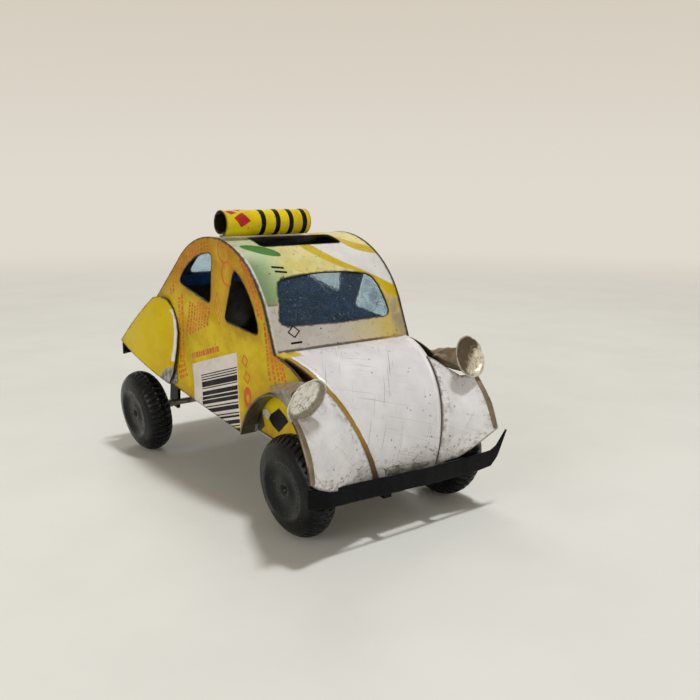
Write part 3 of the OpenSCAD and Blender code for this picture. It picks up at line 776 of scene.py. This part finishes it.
def strip_place(s, y, h):
    """Point of the bent roof strip: s runs from the windscreen's foot over the roof to the tail."""
    if s < S_ARC:
        p = SCREEN_P + T_SCREEN * s + N_SCREEN * h
    elif s < S_TAIL:
        t = (s - S_ARC) / (S_TAIL - S_ARC)
        a = A_SCREEN + t * (A_TAIL - A_SCREEN)
        r = ROOF_R + h + (D_SCREEN - ROOF_R) * (1 - t) + (D_TAIL - ROOF_R) * t
        p = ROOF_C + r * polar(a)
    else:
        fold = smooth(S_END - 0.5, S_END + 0.5, s)
        if s <= S_END:
            p = ROOF_C + D_TAIL * N_TAIL + T_TAIL * (s - S_TAIL)
        else:
            p = TAIL_P + np.array([0, -1]) * (s - S_END)
        n = N_TAIL * (1 - fold) + np.array([-1, 0]) * fold
        p = p + n / norm(n) * h
    return (p[0], y, p[1])


def front_s(z):
    """Place along the strip, on its front half, at a height."""
    return solve(lambda s: strip_place(s, 0, 0)[2] < z, -1, S_TOP)


def back_s(z):
    """Place along the strip, on its back half, at a height."""
    return solve(lambda s: strip_place(s, 0, 0)[2] > z, S_TOP, S_END)


def spline(points, steps=6):
    """Open curve through the points."""
    p = np.array([points[0]] + list(points) + [points[-1]])
    out = []
    for a, b, c, d in zip(p, p[1:], p[2:], p[3:]):
        for t in np.arange(steps) / steps:
            cubic = 2 * a - 5 * b + 4 * c - d + t * (3 * b - a - 3 * c + d)
            out.append(tuple(b + 0.5 * t * (c - a + t * cubic)))
    return out + [tuple(points[-1])]


SCREEN_YZ = (
    (-15.2, 41.3), (-14.7, 40.5), (-13.8, 40.1), (0, 39.7), (12.8, 39.9), (13.8, 40.3), (14.3, 41.2),
    (13.3, 46.8), (12.6, 48.3), (11.2, 49.2), (6, 49.8), (0, 50), (-6, 49.8), (-11.6, 49.3), (-12.9, 48.6),
    (-13.6, 47.2))
BAND_LINES = (
    ((40, -8.2), (27.6, -1.8), (22.2, 0.9), (18.6, 4.7), (16.1, 9.7), (12.4, 13.8), (10.4, 15.2),
     (9.3, 17.99)),
    ((40, -5.2), (27.7, 1.2), (20.5, 5.8), (15.9, 12.2), (13.5, 15.8), (12.2, 17.99)),
    ((40, 2.6), (27.6, 10.6), (23.7, 13.2), (21.4, 17.99)),
    ((40, 5.2), (28.5, 13.3), (25.6, 16.5), (23.4, 17.99)))
screen_hole = [(front_s(z), y) for y, z in SCREEN_YZ]
rear_hole = [(back_s(z), y) for y, z in round_quad(0, 50.5, 27.6, 6, 2)]
hatch_hole = [(S_ARC + ROOF_R * (acos((x - ROOF_C[0]) / ROOF_R) - A_SCREEN), y)
              for x, y in round_quad(4.4, 0, 6, 22.2, 1.2)]
curves = [spline(points) for points in BAND_LINES]
bands = [(a + b[::-1], m) for a, b, m in zip(curves, curves[1:], (M_BAND_Y, M_BAND_W, M_BAND_Y))]
bands += [(poly_turn(circle((0, 0), 4.6, 48, 0.36), (25.4, -12), radians(120)), M_GREEN)]
for at in ((19.2, -11), (17.9, -10.8)):
    bands += [(poly_turn(quad(-0.3, -1.5, 0.3, 1.5), at, 0.15), M_BAR)]
bands += nested((4.1, -12.3), 1.4, 1.6, 0, ((1, M_BAR), (0.72, M_STRIP)))
bands += [(quad(1.5, -13.6, 1.95, -10.8), M_BAR)]
for s0, s1, m in ((46, 52, M_BAND_Y), (78, 80.5, M_BAND_W), (80.5, 83, M_BAND_Y)):
    bands += [(quad(s0, -17.99, s1, 17.99), m)]
strip_loops = [quad(-1, -18, S_END + 3.8, 18), screen_hole, rear_hole, hatch_hole]
sheet_piece("strip", strip_loops, strip_place, M_STRIP, M_INSIDE_SHADED, "roof_strip",
            prints=bands, dent=0.2, seed=9, scale=0.1, fade=2.5)

FILMS = (
    ("screen_film", "windscreen_film", M_FILM, front_s(37.7), front_s(51.7), 15.6, 0.02, 0.18, -0.16, 4),
    ("rear_film", "rear_window_film", M_FILM_REAR, back_s(55), back_s(44.1), 15.4, 0.02, 0.18, -0.16, 5),
    ("rear_film_hem", None, M_HEM, back_s(47.3), back_s(44.3), 15.2, 0.24, 0.12, -0.1, 5))
for name, node, mat, s0, s1, half, depth, thick, dent, seed in FILMS:
    sheet_piece(name, [quad(s0, -half, s1, half)], lambda s, y, h: strip_place(s, y, h - SHEET - depth),
                mat, mat, node, thick=thick, dent=dent, seed=seed, scale=0.1, step=1.2)

# Bonnet with folded sides


def bonnet_point(a):
    return BON_C + BON_R * polar(a)


def crease_half(x, z):
    return CREASE_Y - (CREASE_N[0] * x + CREASE_N[2] * z) / CREASE_N[1]


def flange(radial, side, tag, back_tag):
    """Outside and inside of the fold along one side of the bonnet."""
    out, back = [], []
    for k in range(6):
        x, z = BON_C + (BON_R - (0.25 + 1.5 * k / 5)) * radial
        f = crease_half(x, z)
        out.append(((x, side * (f - (0.06 if k == 0 else 0)), z), tag))
        back.append(((x, side * (f - SHEET), z), back_tag))
    return out, back


N_ROW, N_COL = 96, 84
floor_n = np.array([sin(SILL_A), cos(SILL_A)])
A_TOP = solve(lambda a: (bonnet_point(a) - SCREEN_P) @ N_SCREEN > 0, 0.8, 1.8)
A_FOOT = solve(lambda a: (bonnet_point(a) - SILL_P) @ floor_n < 0.9, -0.6, 0.3)
ARC_END = BON_R * (A_TOP - A_FOOT)
rings = []
for i in range(N_ROW + 1):
    a = A_FOOT + (A_TOP - A_FOOT) * i / N_ROW
    p = bonnet_point(a)
    radial = polar(a)
    half = crease_half(p[0], p[1])
    arc = BON_R * (a - A_FOOT)
    behind = (arc, 9, 3)
    outer, lower = [], []
    for j in range(N_COL + 1):
        y = -half + 0.25 + (2 * half - 0.5) * j / N_COL
        rim = min(half - abs(y), arc, ARC_END - arc)
        h = 0.3 * smooth(0.3, 5, rim) * (fbm(arc * 0.1, y * 0.1, 21) - 0.2)
        crease = exp(-((y - 3.2 - 0.25 * arc + 4) / 1.6) ** 2)
        h += -0.16 * crease * smooth(6, 12, arc) * (1 - smooth(20, 27, arc))
        bead = exp(-((half - abs(y) - (1.9 if y < 0 else 0.9)) / 0.5) ** 2)
        h += 0.26 * bead * smooth(0, 4, arc)
        q = h - SHEET
        tag = (arc, y + half, min(arc, ARC_END - arc))
        outer.append(((p[0] + radial[0] * h, y, p[1] + radial[1] * h), tag))
        y = max(-half + SHEET, min(half - SHEET, y))
        lower.append(((p[0] + radial[0] * q, y, p[1] + radial[1] * q), behind))
    right, right_back = flange(radial, -1, (arc, 0, 3), behind)
    left, left_back = flange(radial, 1, (arc, 2 * half, 3), (arc, 2 * half, 3))
    rings.append(right[::-1] + outer + left + left_back[::-1] + lower[::-1] + right_back)
tube("bonnet_sheet", rings, M_BONNET, "bonnet", 50)

# Front wings with folded rims


def wing_map(side):
    c, s = cos(WING_YAW), sin(WING_YAW)

    def place(u, v, h):
        a = u / WING_R
        x = BON_C[0] + (WING_R + h) * cos(a)
        z = BON_C[1] + (WING_R + h) * sin(a)
        return (c * x + s * v, side * (WING_PIVOT - s * x + c * v), z)
    return place


def wing_uv(y, z):
    """Place on the wing's sheet of a point given by its width and height."""
    a = asin((z - BON_C[1]) / WING_R)
    x = BON_C[0] + WING_R * cos(a)
    return (a * WING_R, (y - WING_PIVOT + sin(WING_YAW) * x) / cos(WING_YAW))


def wing_fold(place, z, tuck):
    """Point of the wing's sheet at a height, tucked some way behind the bonnet's fold."""
    y = 12
    for _ in range(30):
        u, v = wing_uv(y, z)
        y = crease_half(place(u, v, 0)[0], z) - tuck
    return (u, v)


WING_FOOT = 11.95
RIM_STEPS = 60
# Side, its sign, top of the fold, tuck, flush, the rim's width and two heights, and the outer edge
WINGS = (
    ("right", -1, 29.8, 0, 0, (26.8, 16.2, 26.9), (
        (19.9, 28), (23.5, 27.4), (26.8, 26.9), (26.8, 16.3),
        (24.8, 14.9), (22, 13.7), (18.4, 12.9), (14, 12.2))),
    ("left", 1, 31.7, 0.9, 0.7, (23.6, 17.6, 28), (
        (16.4, 31), (19.4, 28.4), (23.6, 28.2), (23.6, 17.6), (20, 15.7), (16.4, 13.9), (13.5, 12.6))))
for side, sign, top, tuck, flush, (rim_y, z0, z1), edge in WINGS:
    place = wing_map(sign)
    fold = np.array([wing_fold(place, z, tuck) for z in np.linspace(WING_FOOT, top, 40)])
    outline = [tuple(p) for p in fold] + [wing_uv(y, z) for y, z in edge]
    sheet_piece("wing_" + side, [outline], place, M_WHITE, M_INSIDE_SHADED, "front_wing_" + side,
                step=0.8, dent=0.3, seed=31 + sign, scale=0.14, fade=2.5,
                relief=lambda u, v, e: flush * (1 - smooth(0, 4, v - np.interp(u, *fold.T))))
    rings = []
    for i in range(RIM_STEPS + 1):
        u, v = wing_uv(rim_y - 0.75, z0 + (z1 - z0) * i / RIM_STEPS)
        taper = 0.45 + 0.55 * sin(pi * i / RIM_STEPS) ** 0.6
        ring = []
        for j, t in enumerate(turns(16)):
            bulge = 1 + 0.1 * fbm(i * 0.09, cos(t), 5 + sign)
            p = place(u, v + 0.72 * cos(t) * bulge * taper, -0.04 + 0.3 * power(sin(t), 0.5) * bulge)
            ring.append((p, (i * 0.2, j, 2)))
        rings.append(ring)
    tube("rim_" + side, rings, M_RIM, "wing_rim_" + side, 60)

# Rear wings


def ball_map(side):
    def place(u, v, h):
        d2 = (u - BALL_C[0]) ** 2 + (v - BALL_C[1]) ** 2
        return (u, side * (BALL_Y - BALL_R + sqrt(BALL_R ** 2 - d2) + h), v)
    return place


WING_TABS = (
    ((-21.9, 21), (-20.9, 22.9), (-22.6, 23.4), (-23.4, 21.4)),
    ((-23.4, 39), (-24.6, 40.8), (-27.4, 40.6), (-26.8, 39)),
    ((-40.2, 27.6), (-40.2, 30.4), (-42.4, 29.2), (-42.8, 28)))
CRESCENT = (
    (-21.9, 38.6), (-20.5, 37.6), (-19.9, 34.6), (-20, 31), (-20.9, 26.4), (-18, 26), (-17.6, 36.5),
    (-19.5, 39.6))
SMEAR = ((-25.4, 21.4), (-23.6, 23.6), (-21.6, 24.6), (-18.6, 25.2), (-19, 20), (-22.5, 19))
for side, sign in SIDES:
    place = ball_map(sign)
    loops = node_loops("rear_wing_" + side, place)
    sheet_piece("tail_wing_" + side, loops[:1], place, M_WING, M_INSIDE_SHADED, "rear_wing_" + side,
                dent=0.3, seed=41 + sign, scale=0.13, step=0.8, fade=2,
                prints=[(CRESCENT, M_BAND_W), (SMEAR, M_SOLDER)])
    for k, tab in enumerate(WING_TABS):
        verts = [(x, sign * (HALF_W + 0.02), z) for x, z in tab] + [place(x, z, -0.2) for x, z in tab]
        faces = [(0, 1, 2, 3), (7, 6, 5, 4)] + ring_faces(0, 2, 4)
        make("tail_tab_%s_%d" % (side, k), verts, faces, [M_TIN])

# Inner panels with a black lozenge mark, a liner strip and a pale mark

EDGE_STRIP = (
    (2, 5), (12.2, 5), (12, 15.4), (14.1, 17.2), (13, 20.1), (14.3, 22.9), (14.3, 40), (2, 40))
BLACK_MARK = (
    (16, 20.1), (17.8, 21.2), (19.8, 22.5), (22.4, 21.2), (23.3, 20.3), (19.6, 17.1), (17.3, 18),
    (15.8, 19.2))
PALE_MARK = ((13.4, 20.7), (15, 21.3), (16.4, 20.2), (15, 18.8), (13.4, 19.8))
INNER_MARKS = ((EDGE_STRIP, M_LINER), (BLACK_MARK, M_BAR), (PALE_MARK, M_LAMP))
for side, sign in SIDES:
    place = panel_map(sign, INNER_W)
    loops = node_loops("inner_panel_" + side, place)
    sheet_piece("inner_" + side, loops[:1], place, M_PANEL, M_INSIDE_SHADED, "inner_panel_" + side,
                prints=INNER_MARKS, dent=0.15, seed=51 + sign)

# Rolled-up roof

ROLL_R = 3
ROLL_AT = 2.9
ROLL_X = ROOF_C[0] + ROLL_AT
ROLL_Z = ROOF_C[1] + sqrt(ROOF_R ** 2 - ROLL_AT ** 2) + 0.15 + ROLL_R


def roll_place(u, v, h):
    a = radians(-100) + u / ROLL_R
    r = ROLL_R - 0.5 * smooth(15.5, 19.5, u) + h
    return (ROLL_X + r * cos(a), v, ROLL_Z + r * sin(a))


marks = [(quad(0.01, y - 0.62, 21.4, y + 0.62), M_BAR) for y in (-8, -4.2, -0.6, 3.1)]
for u in (6.2, 10.4, 14.6):
    marks += [(lozenge((u, -13.4), 1.9, 2.1, 0.2), M_RED)]
    marks += [(lozenge((u + 2.1, -15.7), 0.9, 1.4, 0.2), M_RED)]
sheet_piece("roll_sheet", [quad(0, -17.4, 21.5, 4.8)], roll_place, M_ROLL, M_ROLL_IN_SHADED,
            "roof_roll", step=0.6, prints=marks, dent=0.08, seed=61, scale=0.2, thick=0.3,
            relief=lambda u, v, e: -0.1)

# Headlamps


def lamp_matrix(side, at, tilt, turn):
    m = (Matrix.Translation(Vector(at)) @ Matrix.Rotation(radians(turn), 4, "Z")
         @ Matrix.Rotation(radians(90 - tilt), 4, "Y"))
    return Matrix.Scale(-1, 4, (0, 1, 0)) @ m if side < 0 else m


# The left lamp takes the darker foil, a copy in painted shade
LAMPS = (
    ("right", -1, (41.6, 24.6, 31.3), -23.2, -9.4, (23.5, 18.8, 28), M_LAMP, M_TIN),
    ("left", 1, (38.6, 20.6, 32), 19.3, 6.8, (25.4, 18.8, 30.4), M_LAMP_LEFT_SHADED, M_RIM))
LAMP_R = 4.75
LAMP_D = 2
BOWL = [
    (0, 0.95), (0.8, 0.97), (1.6, 0.98), (2.3, 0.99), (2.8, 1.04), (3.2, 1.16), (3.5, 1.34), (3.8, 1.6),
    (4.05, 1.8), (4.3, 1.93), (4.5, 1.97), (4.66, 1.94), (4.74, 1.84)]
DISH = BOWL + [
    (4.7, 1.74), (4.55, 1.66), (4.3, 1.5), (3.9, 1.2), (3.3, 0.83), (2.4, 0.42), (1.2, 0.1), (0, 0)]
LAMP_SIDES = 72
BRACKET_STEPS = 40
for side, sign, at, tilt, turn, foot, foil, tin in LAMPS:
    m = lamp_matrix(sign, at, tilt, turn)
    middle = m @ UP
    verts, tags = [], []
    for k, (r, w) in enumerate(DISH):
        for t in turns(LAMP_SIDES) if r > 0 else (0,):
            fold = fbm(2.2 * cos(t), 2.2 * sin(t), 70 + sign)
            facet = abs(sin(3.5 * t + 0.6 * sign)) - 0.5
            rr = min(LAMP_R, r * (1 + (0.03 * fold + 0.02 * facet - 0.02) * (r / LAMP_R) ** 3))
            crumple = noise.noise(Vector((0.9 * r * cos(t), 0.9 * r * sin(t), 3 + sign)))
            ww = w + 0.3 * (fold + 0.5 * facet) * (r / LAMP_R) ** 2 + 0.16 * crumple * smooth(0.3, 1, w)
            p = m @ Vector((rr * cos(t), rr * sin(t), min(LAMP_D - 0.01, ww)))
            verts.append(p)
            # v runs across the disc towards its lit side, where the foil's painted highlight goes
            tags.append((r if k < len(BOWL) else LAMP_R, (p.y - middle.y - p.z + middle.z) * 0.7, 3))
    last = len(verts) - 1
    faces = ring_faces(1, len(DISH) - 2, LAMP_SIDES)
    faces += fan(0, 1, LAMP_SIDES) + fan(last, last - LAMP_SIDES, LAMP_SIDES)
    make("lamp_" + side, verts, faces, [foil], "headlamp_disc_" + side, sheet=tags, crisp=34)
    start = Vector((foot[0], sign * foot[1], foot[2]))
    stop = m @ Vector((0, 0, 0.3))
    run = (stop - start).normalized()
    facing = (middle - m @ Vector((0, 0, 0))).normalized()
    rings = []
    for i in range(BRACKET_STEPS + 1):
        f = i / BRACKET_STEPS
        heading = run.lerp(facing, f * f).normalized()
        side_a = heading.cross(UP).normalized()
        side_b = heading.cross(side_a)
        base = start + run * ((stop - start).length * f)
        ring = []
        for j, t in enumerate(turns(48)):
            ridge = abs(sin(2.5 * t + 1.3 * sin(3 * f + sign))) * 0.16
            lump = 0.14 * fbm(1.6 * cos(t) + 3 * f, 1.6 * sin(t), 90 + sign + 4 * f)
            r = (1 + 2.4 * f) * min(1, 0.9 - ridge + lump)
            ring.append((base + side_a * (r * cos(t)) + side_b * (r * sin(t)), (f * 20, j, 3)))
        rings.append(ring)
    tube("lamp_bracket_" + side, rings, tin, "headlamp_bracket_" + side, 40)

# Wheels

TREADS = 40
TYRE_SIDES = 360
FACE = [
    (0.25, 2.3), (0.5, 2.5), (0.8, 2.78), (1.15, 2.95), (1.5, 3), (1.9, 2.93), (2.4, 2.8), (3, 2.72),
    (3.7, 2.72), (4.3, 2.83), (4.9, 3.05), (5.4, 3.31), (5.8, 3.5), (6.1, 3.59), (6.4, 3.61), (6.8, 3.55),
    (7.2, 3.46), (7.7, 3.37), (8.1, 3.28), (8.5, 3.16), (8.9, 2.98), (9.25, 2.74), (9.55, 2.44),
    (9.82, 2.08), (10.05, 1.68), (10.22, 1.3), (10.34, 0.95), (10.42, 0.6), (10.46, 0.3)]
BORE = [
    (6.5, -3.42), (4, -3.4), (1.6, -3.4), (1.05, -3.36), (0.9, -3.2), (0.86, -2.9), (0.86, 0.6), (0.86, 0.96),
    (0.5, 0.99)]
HUB = 1.02
RINGS = FACE + [(10.48, 0)] + [(r, -min(w, TYRE_W / 2)) for r, w in FACE[:13:-1]] + BORE
for joint in frame["joints"]:
    name = joint["child"]
    centre = Vector(np.array(joint["pos_m"]) * 1000)
    sign = -1 if centre.y < 0 else 1
    out = Vector(joint["axis"]).normalized()
    if out.y * sign < 0:
        out = -out
    across = Vector((1, 0, 0))
    up = out.cross(across).normalized()
    seed = len(name) * 1.7 + sign
    verts = [centre + out * HUB]
    for r, w in RINGS:
        for t in turns(TYRE_SIDES):
            phase = (t / (2 * pi) * TREADS + (0.25 if w > 0 else 0.75) + 0.08 * w) % 1
            groove = 1 - smooth(0.1, 0.26, abs(phase - 0.5))
            zone = smooth(9.3, 9.75, r) * smooth(0.05, 0.35, abs(w))
            rr = r - 0.34 * groove * zone
            rr += 0.03 * noise.noise(Vector((2 * cos(t), 2 * sin(t), r + seed))) * smooth(2, 6, r)
            rr = min(rr, TYRE_R)
            ww = w
            if r > 1 and w > 2:
                ww += 0.05 * noise.noise(Vector((0.4 * r * cos(t), 0.4 * r * sin(t), seed))) - 0.03
            verts.append(centre + across * (rr * cos(t)) + up * (rr * sin(t)) + out * ww)
    faces = ring_faces(1, len(RINGS), TYRE_SIDES) + fan(0, 1, TYRE_SIDES)
    faces.append(tuple(range(len(verts) - TYRE_SIDES, len(verts))))
    make("tyre_" + name[6:], verts, faces, [M_RUBBER], name, name, crisp=30)

# Front bumper

BUMPER_X = 46.5
BUMPER_Z = 8.9
BUMPER_H = 3.9
BUMPER_BEND = 8
BUMPER_STEPS = 160
CORNER_Y = HALF_W + 2.1
START_Y = -CORNER_Y - 5.2
TIP_Y = 26.6
LOW_EDGE = ([-30, 18.5, 22.1, 24.1, TIP_Y], [0, 0, 0.3, 2.2, 7.5])
TOP_EDGE = ([-30, 18.5, 22, 23.9, TIP_Y], [BUMPER_H, BUMPER_H, BUMPER_H, 4.8, 7.72])
rings = []
for i in range(BUMPER_STEPS + 1):
    y = START_Y + (TIP_Y - START_Y) * i / BUMPER_STEPS
    a = max(0, (-y - CORNER_Y) / BUMPER_BEND)
    x = BUMPER_X - BUMPER_BEND + BUMPER_BEND * cos(a)
    yy = max(y, -CORNER_Y) - BUMPER_BEND * sin(a)
    tip = smooth(18, TIP_Y, y)
    wave = 0.16 * fbm(y * 0.12, 0.3, 77) * (1 - tip)
    base = BUMPER_Z + np.interp(y, [-26, 8], [1.3, 0])
    low = base + np.interp(y, *LOW_EDGE) + 0.1 * (1 - tip) * (1 + fbm(y * 0.3, 1.7, 79))
    top = base + np.interp(y, *TOP_EDGE) - 0.1 * (1 - tip) * (1 + fbm(y * 0.3, 4.7, 79))
    ring = []
    for b in turns(16):
        d = -0.3 + 0.26 * power(cos(b), 0.35) + wave - 0.12 * (1 - tip)
        z = (low + top) / 2 + (top - low) / 2 * power(sin(b), 0.25)
        ring.append(((x + cos(a) * d, yy - sin(a) * d, z), (y, z, 2)))
    rings.append(ring)
tube("bumper_strip", rings, M_BLACK, "front_bumper", 45)

# Solder smears


def lumps(name, blobs, seed):
    """Soft lumps of solder: each blob is (centre, radii, normal)."""
    bm = bmesh.new()
    for k, (c, radii, normal) in enumerate(blobs):
        made = bmesh.ops.create_icosphere(bm, subdivisions=4, radius=1)
        quat = UP.rotation_difference(Vector(normal).normalized())
        for v in made["verts"]:
            p = v.co * (1 + 0.22 * noise.fractal(v.co * 1.6 + Vector((seed + k, 0, 0)), 0.8, 2.1, 4))
            v.co = quat @ (p * Vector(radii)) + Vector(c)
    bm.verts.index_update()
    verts = [tuple(v.co) for v in bm.verts]
    faces = [[v.index for v in f.verts] for f in bm.faces]
    bm.free()
    make(name, verts, faces, [M_SOLDER], crisp=180)


def solder_place(u, v, h):
    """Point of the bonnet at a width and a height, lifted off its sheet."""
    a = asin((v - BON_C[1]) / BON_R)
    p = BON_C + (BON_R + 0.3 + h) * polar(a)
    return (p[0], u, p[1])


def solder_relief(u, v, e):
    return 0.13 * smooth(0, 0.8, e) * fbm(u * 0.9, v * 0.9, 17) - 0.14 * (1 - smooth(0, 0.6, e))


FOOT_SMEAR = (
    (-5.9, 12), (-5.8, 13.6), (-4.6, 14), (-3, 14), (-1, 13.7), (1, 13.6), (3, 13.3), (4.8, 13.3),
    (5.8, 13), (5.6, 12.3), (3.4, 12.1), (0.6, 11.9), (-3, 11.8))
sheet_piece("solder_foot", [FOOT_SMEAR], solder_place, M_SOLDER, M_SOLDER, "solder_patch",
            step=0.35, thick=0.28, dent=0, relief=solder_relief)
lumps("solder_blob", [((9.9, -15.25, 16.7), (1.7, 1.7, 0.5), (0, -1, 0.1))], 3)
lumps("solder_corner", [((-21.6, -18.75, 21.5), (1.6, 1.2, 0.28), (0, -1, 0.2)),
                        ((-20.9, -18.6, 22.8), (0.9, 1.3, 0.24), (0, -1, 0.1))], 2)

# Other CAD pieces keep their solids and take their materials


def dress(node, mat, bevel=0):
    obj = frame["nodes"][node]
    obj.data.materials.clear()
    obj.data.materials.append(mat)
    for p in obj.data.polygons:
        p.material_index = 0
    if bevel > 0:
        mod = obj.modifiers.new("edge", "BEVEL")
        mod.width = bevel * MM
        mod.segments = 2
        mod.limit_method = "ANGLE"
        mod.angle_limit = radians(40)


for side, _ in SIDES:
    dress("arch_lip_" + side, M_LINER, 0.06)
    dress("bumper_bracket_" + side, M_BLACK, 0.1)
    for end in ("front", "rear"):
        dress("collar_%s_%s" % (end, side), M_TIN, 0.08)
for end in ("front", "rear"):
    dress(end + "_axle", M_TIN)
    dress(end + "_axle_bracket", M_BLACK, 0.1)
dress("floor_pan", M_TIN, 0.06)
dress("rear_bumper", M_BLACK, 0.12)

# Floor, light and camera

BACK = (224, 217, 206)
floor_mesh = bpy.data.meshes.new("floor")
floor_mesh.from_pydata([(-6, -6, 0), (6, -6, 0), (6, 6, 0), (-6, 6, 0)], [], [(0, 1, 2, 3)])
floor = link("floor", floor_mesh)
s = Shader("floor_cloth", (226, 228, 223), (221, 223, 218), 0.35, 0.7, 0.02, 4, 0.6)
s.bump(s.noise(1.4, 4, 0.6), 0.12, 0.2)
s.finish(0.9, spec=0.15)
far = s.out("VectorMath", {0: s.mm}, "Value", operation="LENGTH")
glow = s.out("Emission", {"Color": rgb(*BACK)})
blend = {0: s.step(far, 220, 700) * s.seen(), 1: Wire(s, s.bsdf.outputs[0]), 2: glow}
s.put(s.tree.nodes["Material Output"].inputs["Surface"], s.out("MixShader", blend))
floor_mesh.materials.append(s.mat)

world = bpy.data.worlds.new("studio")
scene.world = world
world.use_nodes = True
world.node_tree.nodes.clear()
studio = Nodes(world.node_tree)
soft = studio.out("Background", {"Color": rgb(255, 234, 206), "Strength": 0.24})
level = studio.split(studio.out("TexCoord", output="Generated"))[2]
rise = studio.out("MapRange", {"Value": level, "From Max": 0.22})
tone = studio.mix(rise, BACK, (212, 203, 188))
wall = studio.out("Background", {"Color": tone, "Strength": 1})
both = studio.out("MixShader", {0: studio.seen(), 1: soft, 2: wall})
studio.add("OutputWorld", {0: both})

LIGHTS = (
    ("key", (0.12, 0.1, 0.85), (0.02, 0, 0), 0.09, 3.7, (0.98, 0.985, 1)),
    ("side", (0.12, -0.66, 0.22), (0, 0, 0.03), 0.4, 1.75, (1, 0.99, 0.97)),
    ("fill", (0.8, 0.05, 0.3), (0, 0, 0.03), 0.5, 0.8, (0.97, 0.98, 1)),
    ("back", (-0.6, 0.25, 0.7), (0, 0, 0.03), 0.3, 1.7, (1, 0.98, 0.95)))
for name, at, aim, size, energy, color in LIGHTS:
    data = bpy.data.lights.new(name, "AREA")
    data.shape = "SQUARE"
    data.size = size
    data.energy = energy
    data.color = color
    lamp = link(name, data)
    lamp.location = at
    lamp.rotation_euler = (Vector(aim) - Vector(at)).to_track_quat("-Z", "Y").to_euler()

lens = bpy.data.cameras.new("camera")
lens.sensor_width = 36
lens.lens = 43.14
lens.clip_start = 0.001
camera = link("camera", lens)
eye = Vector((0.16366, -0.10909, 0.06967))
aim = Vector((0.0245, 0.00026, 0.03396))
view = (aim - eye).to_track_quat("-Z", "Y").to_matrix().to_4x4()
camera.matrix_world = Matrix.Translation(eye) @ view @ Matrix.Rotation(radians(0.32), 4, "Z")
scene.camera = camera
scene.view_settings.view_transform = "Standard"
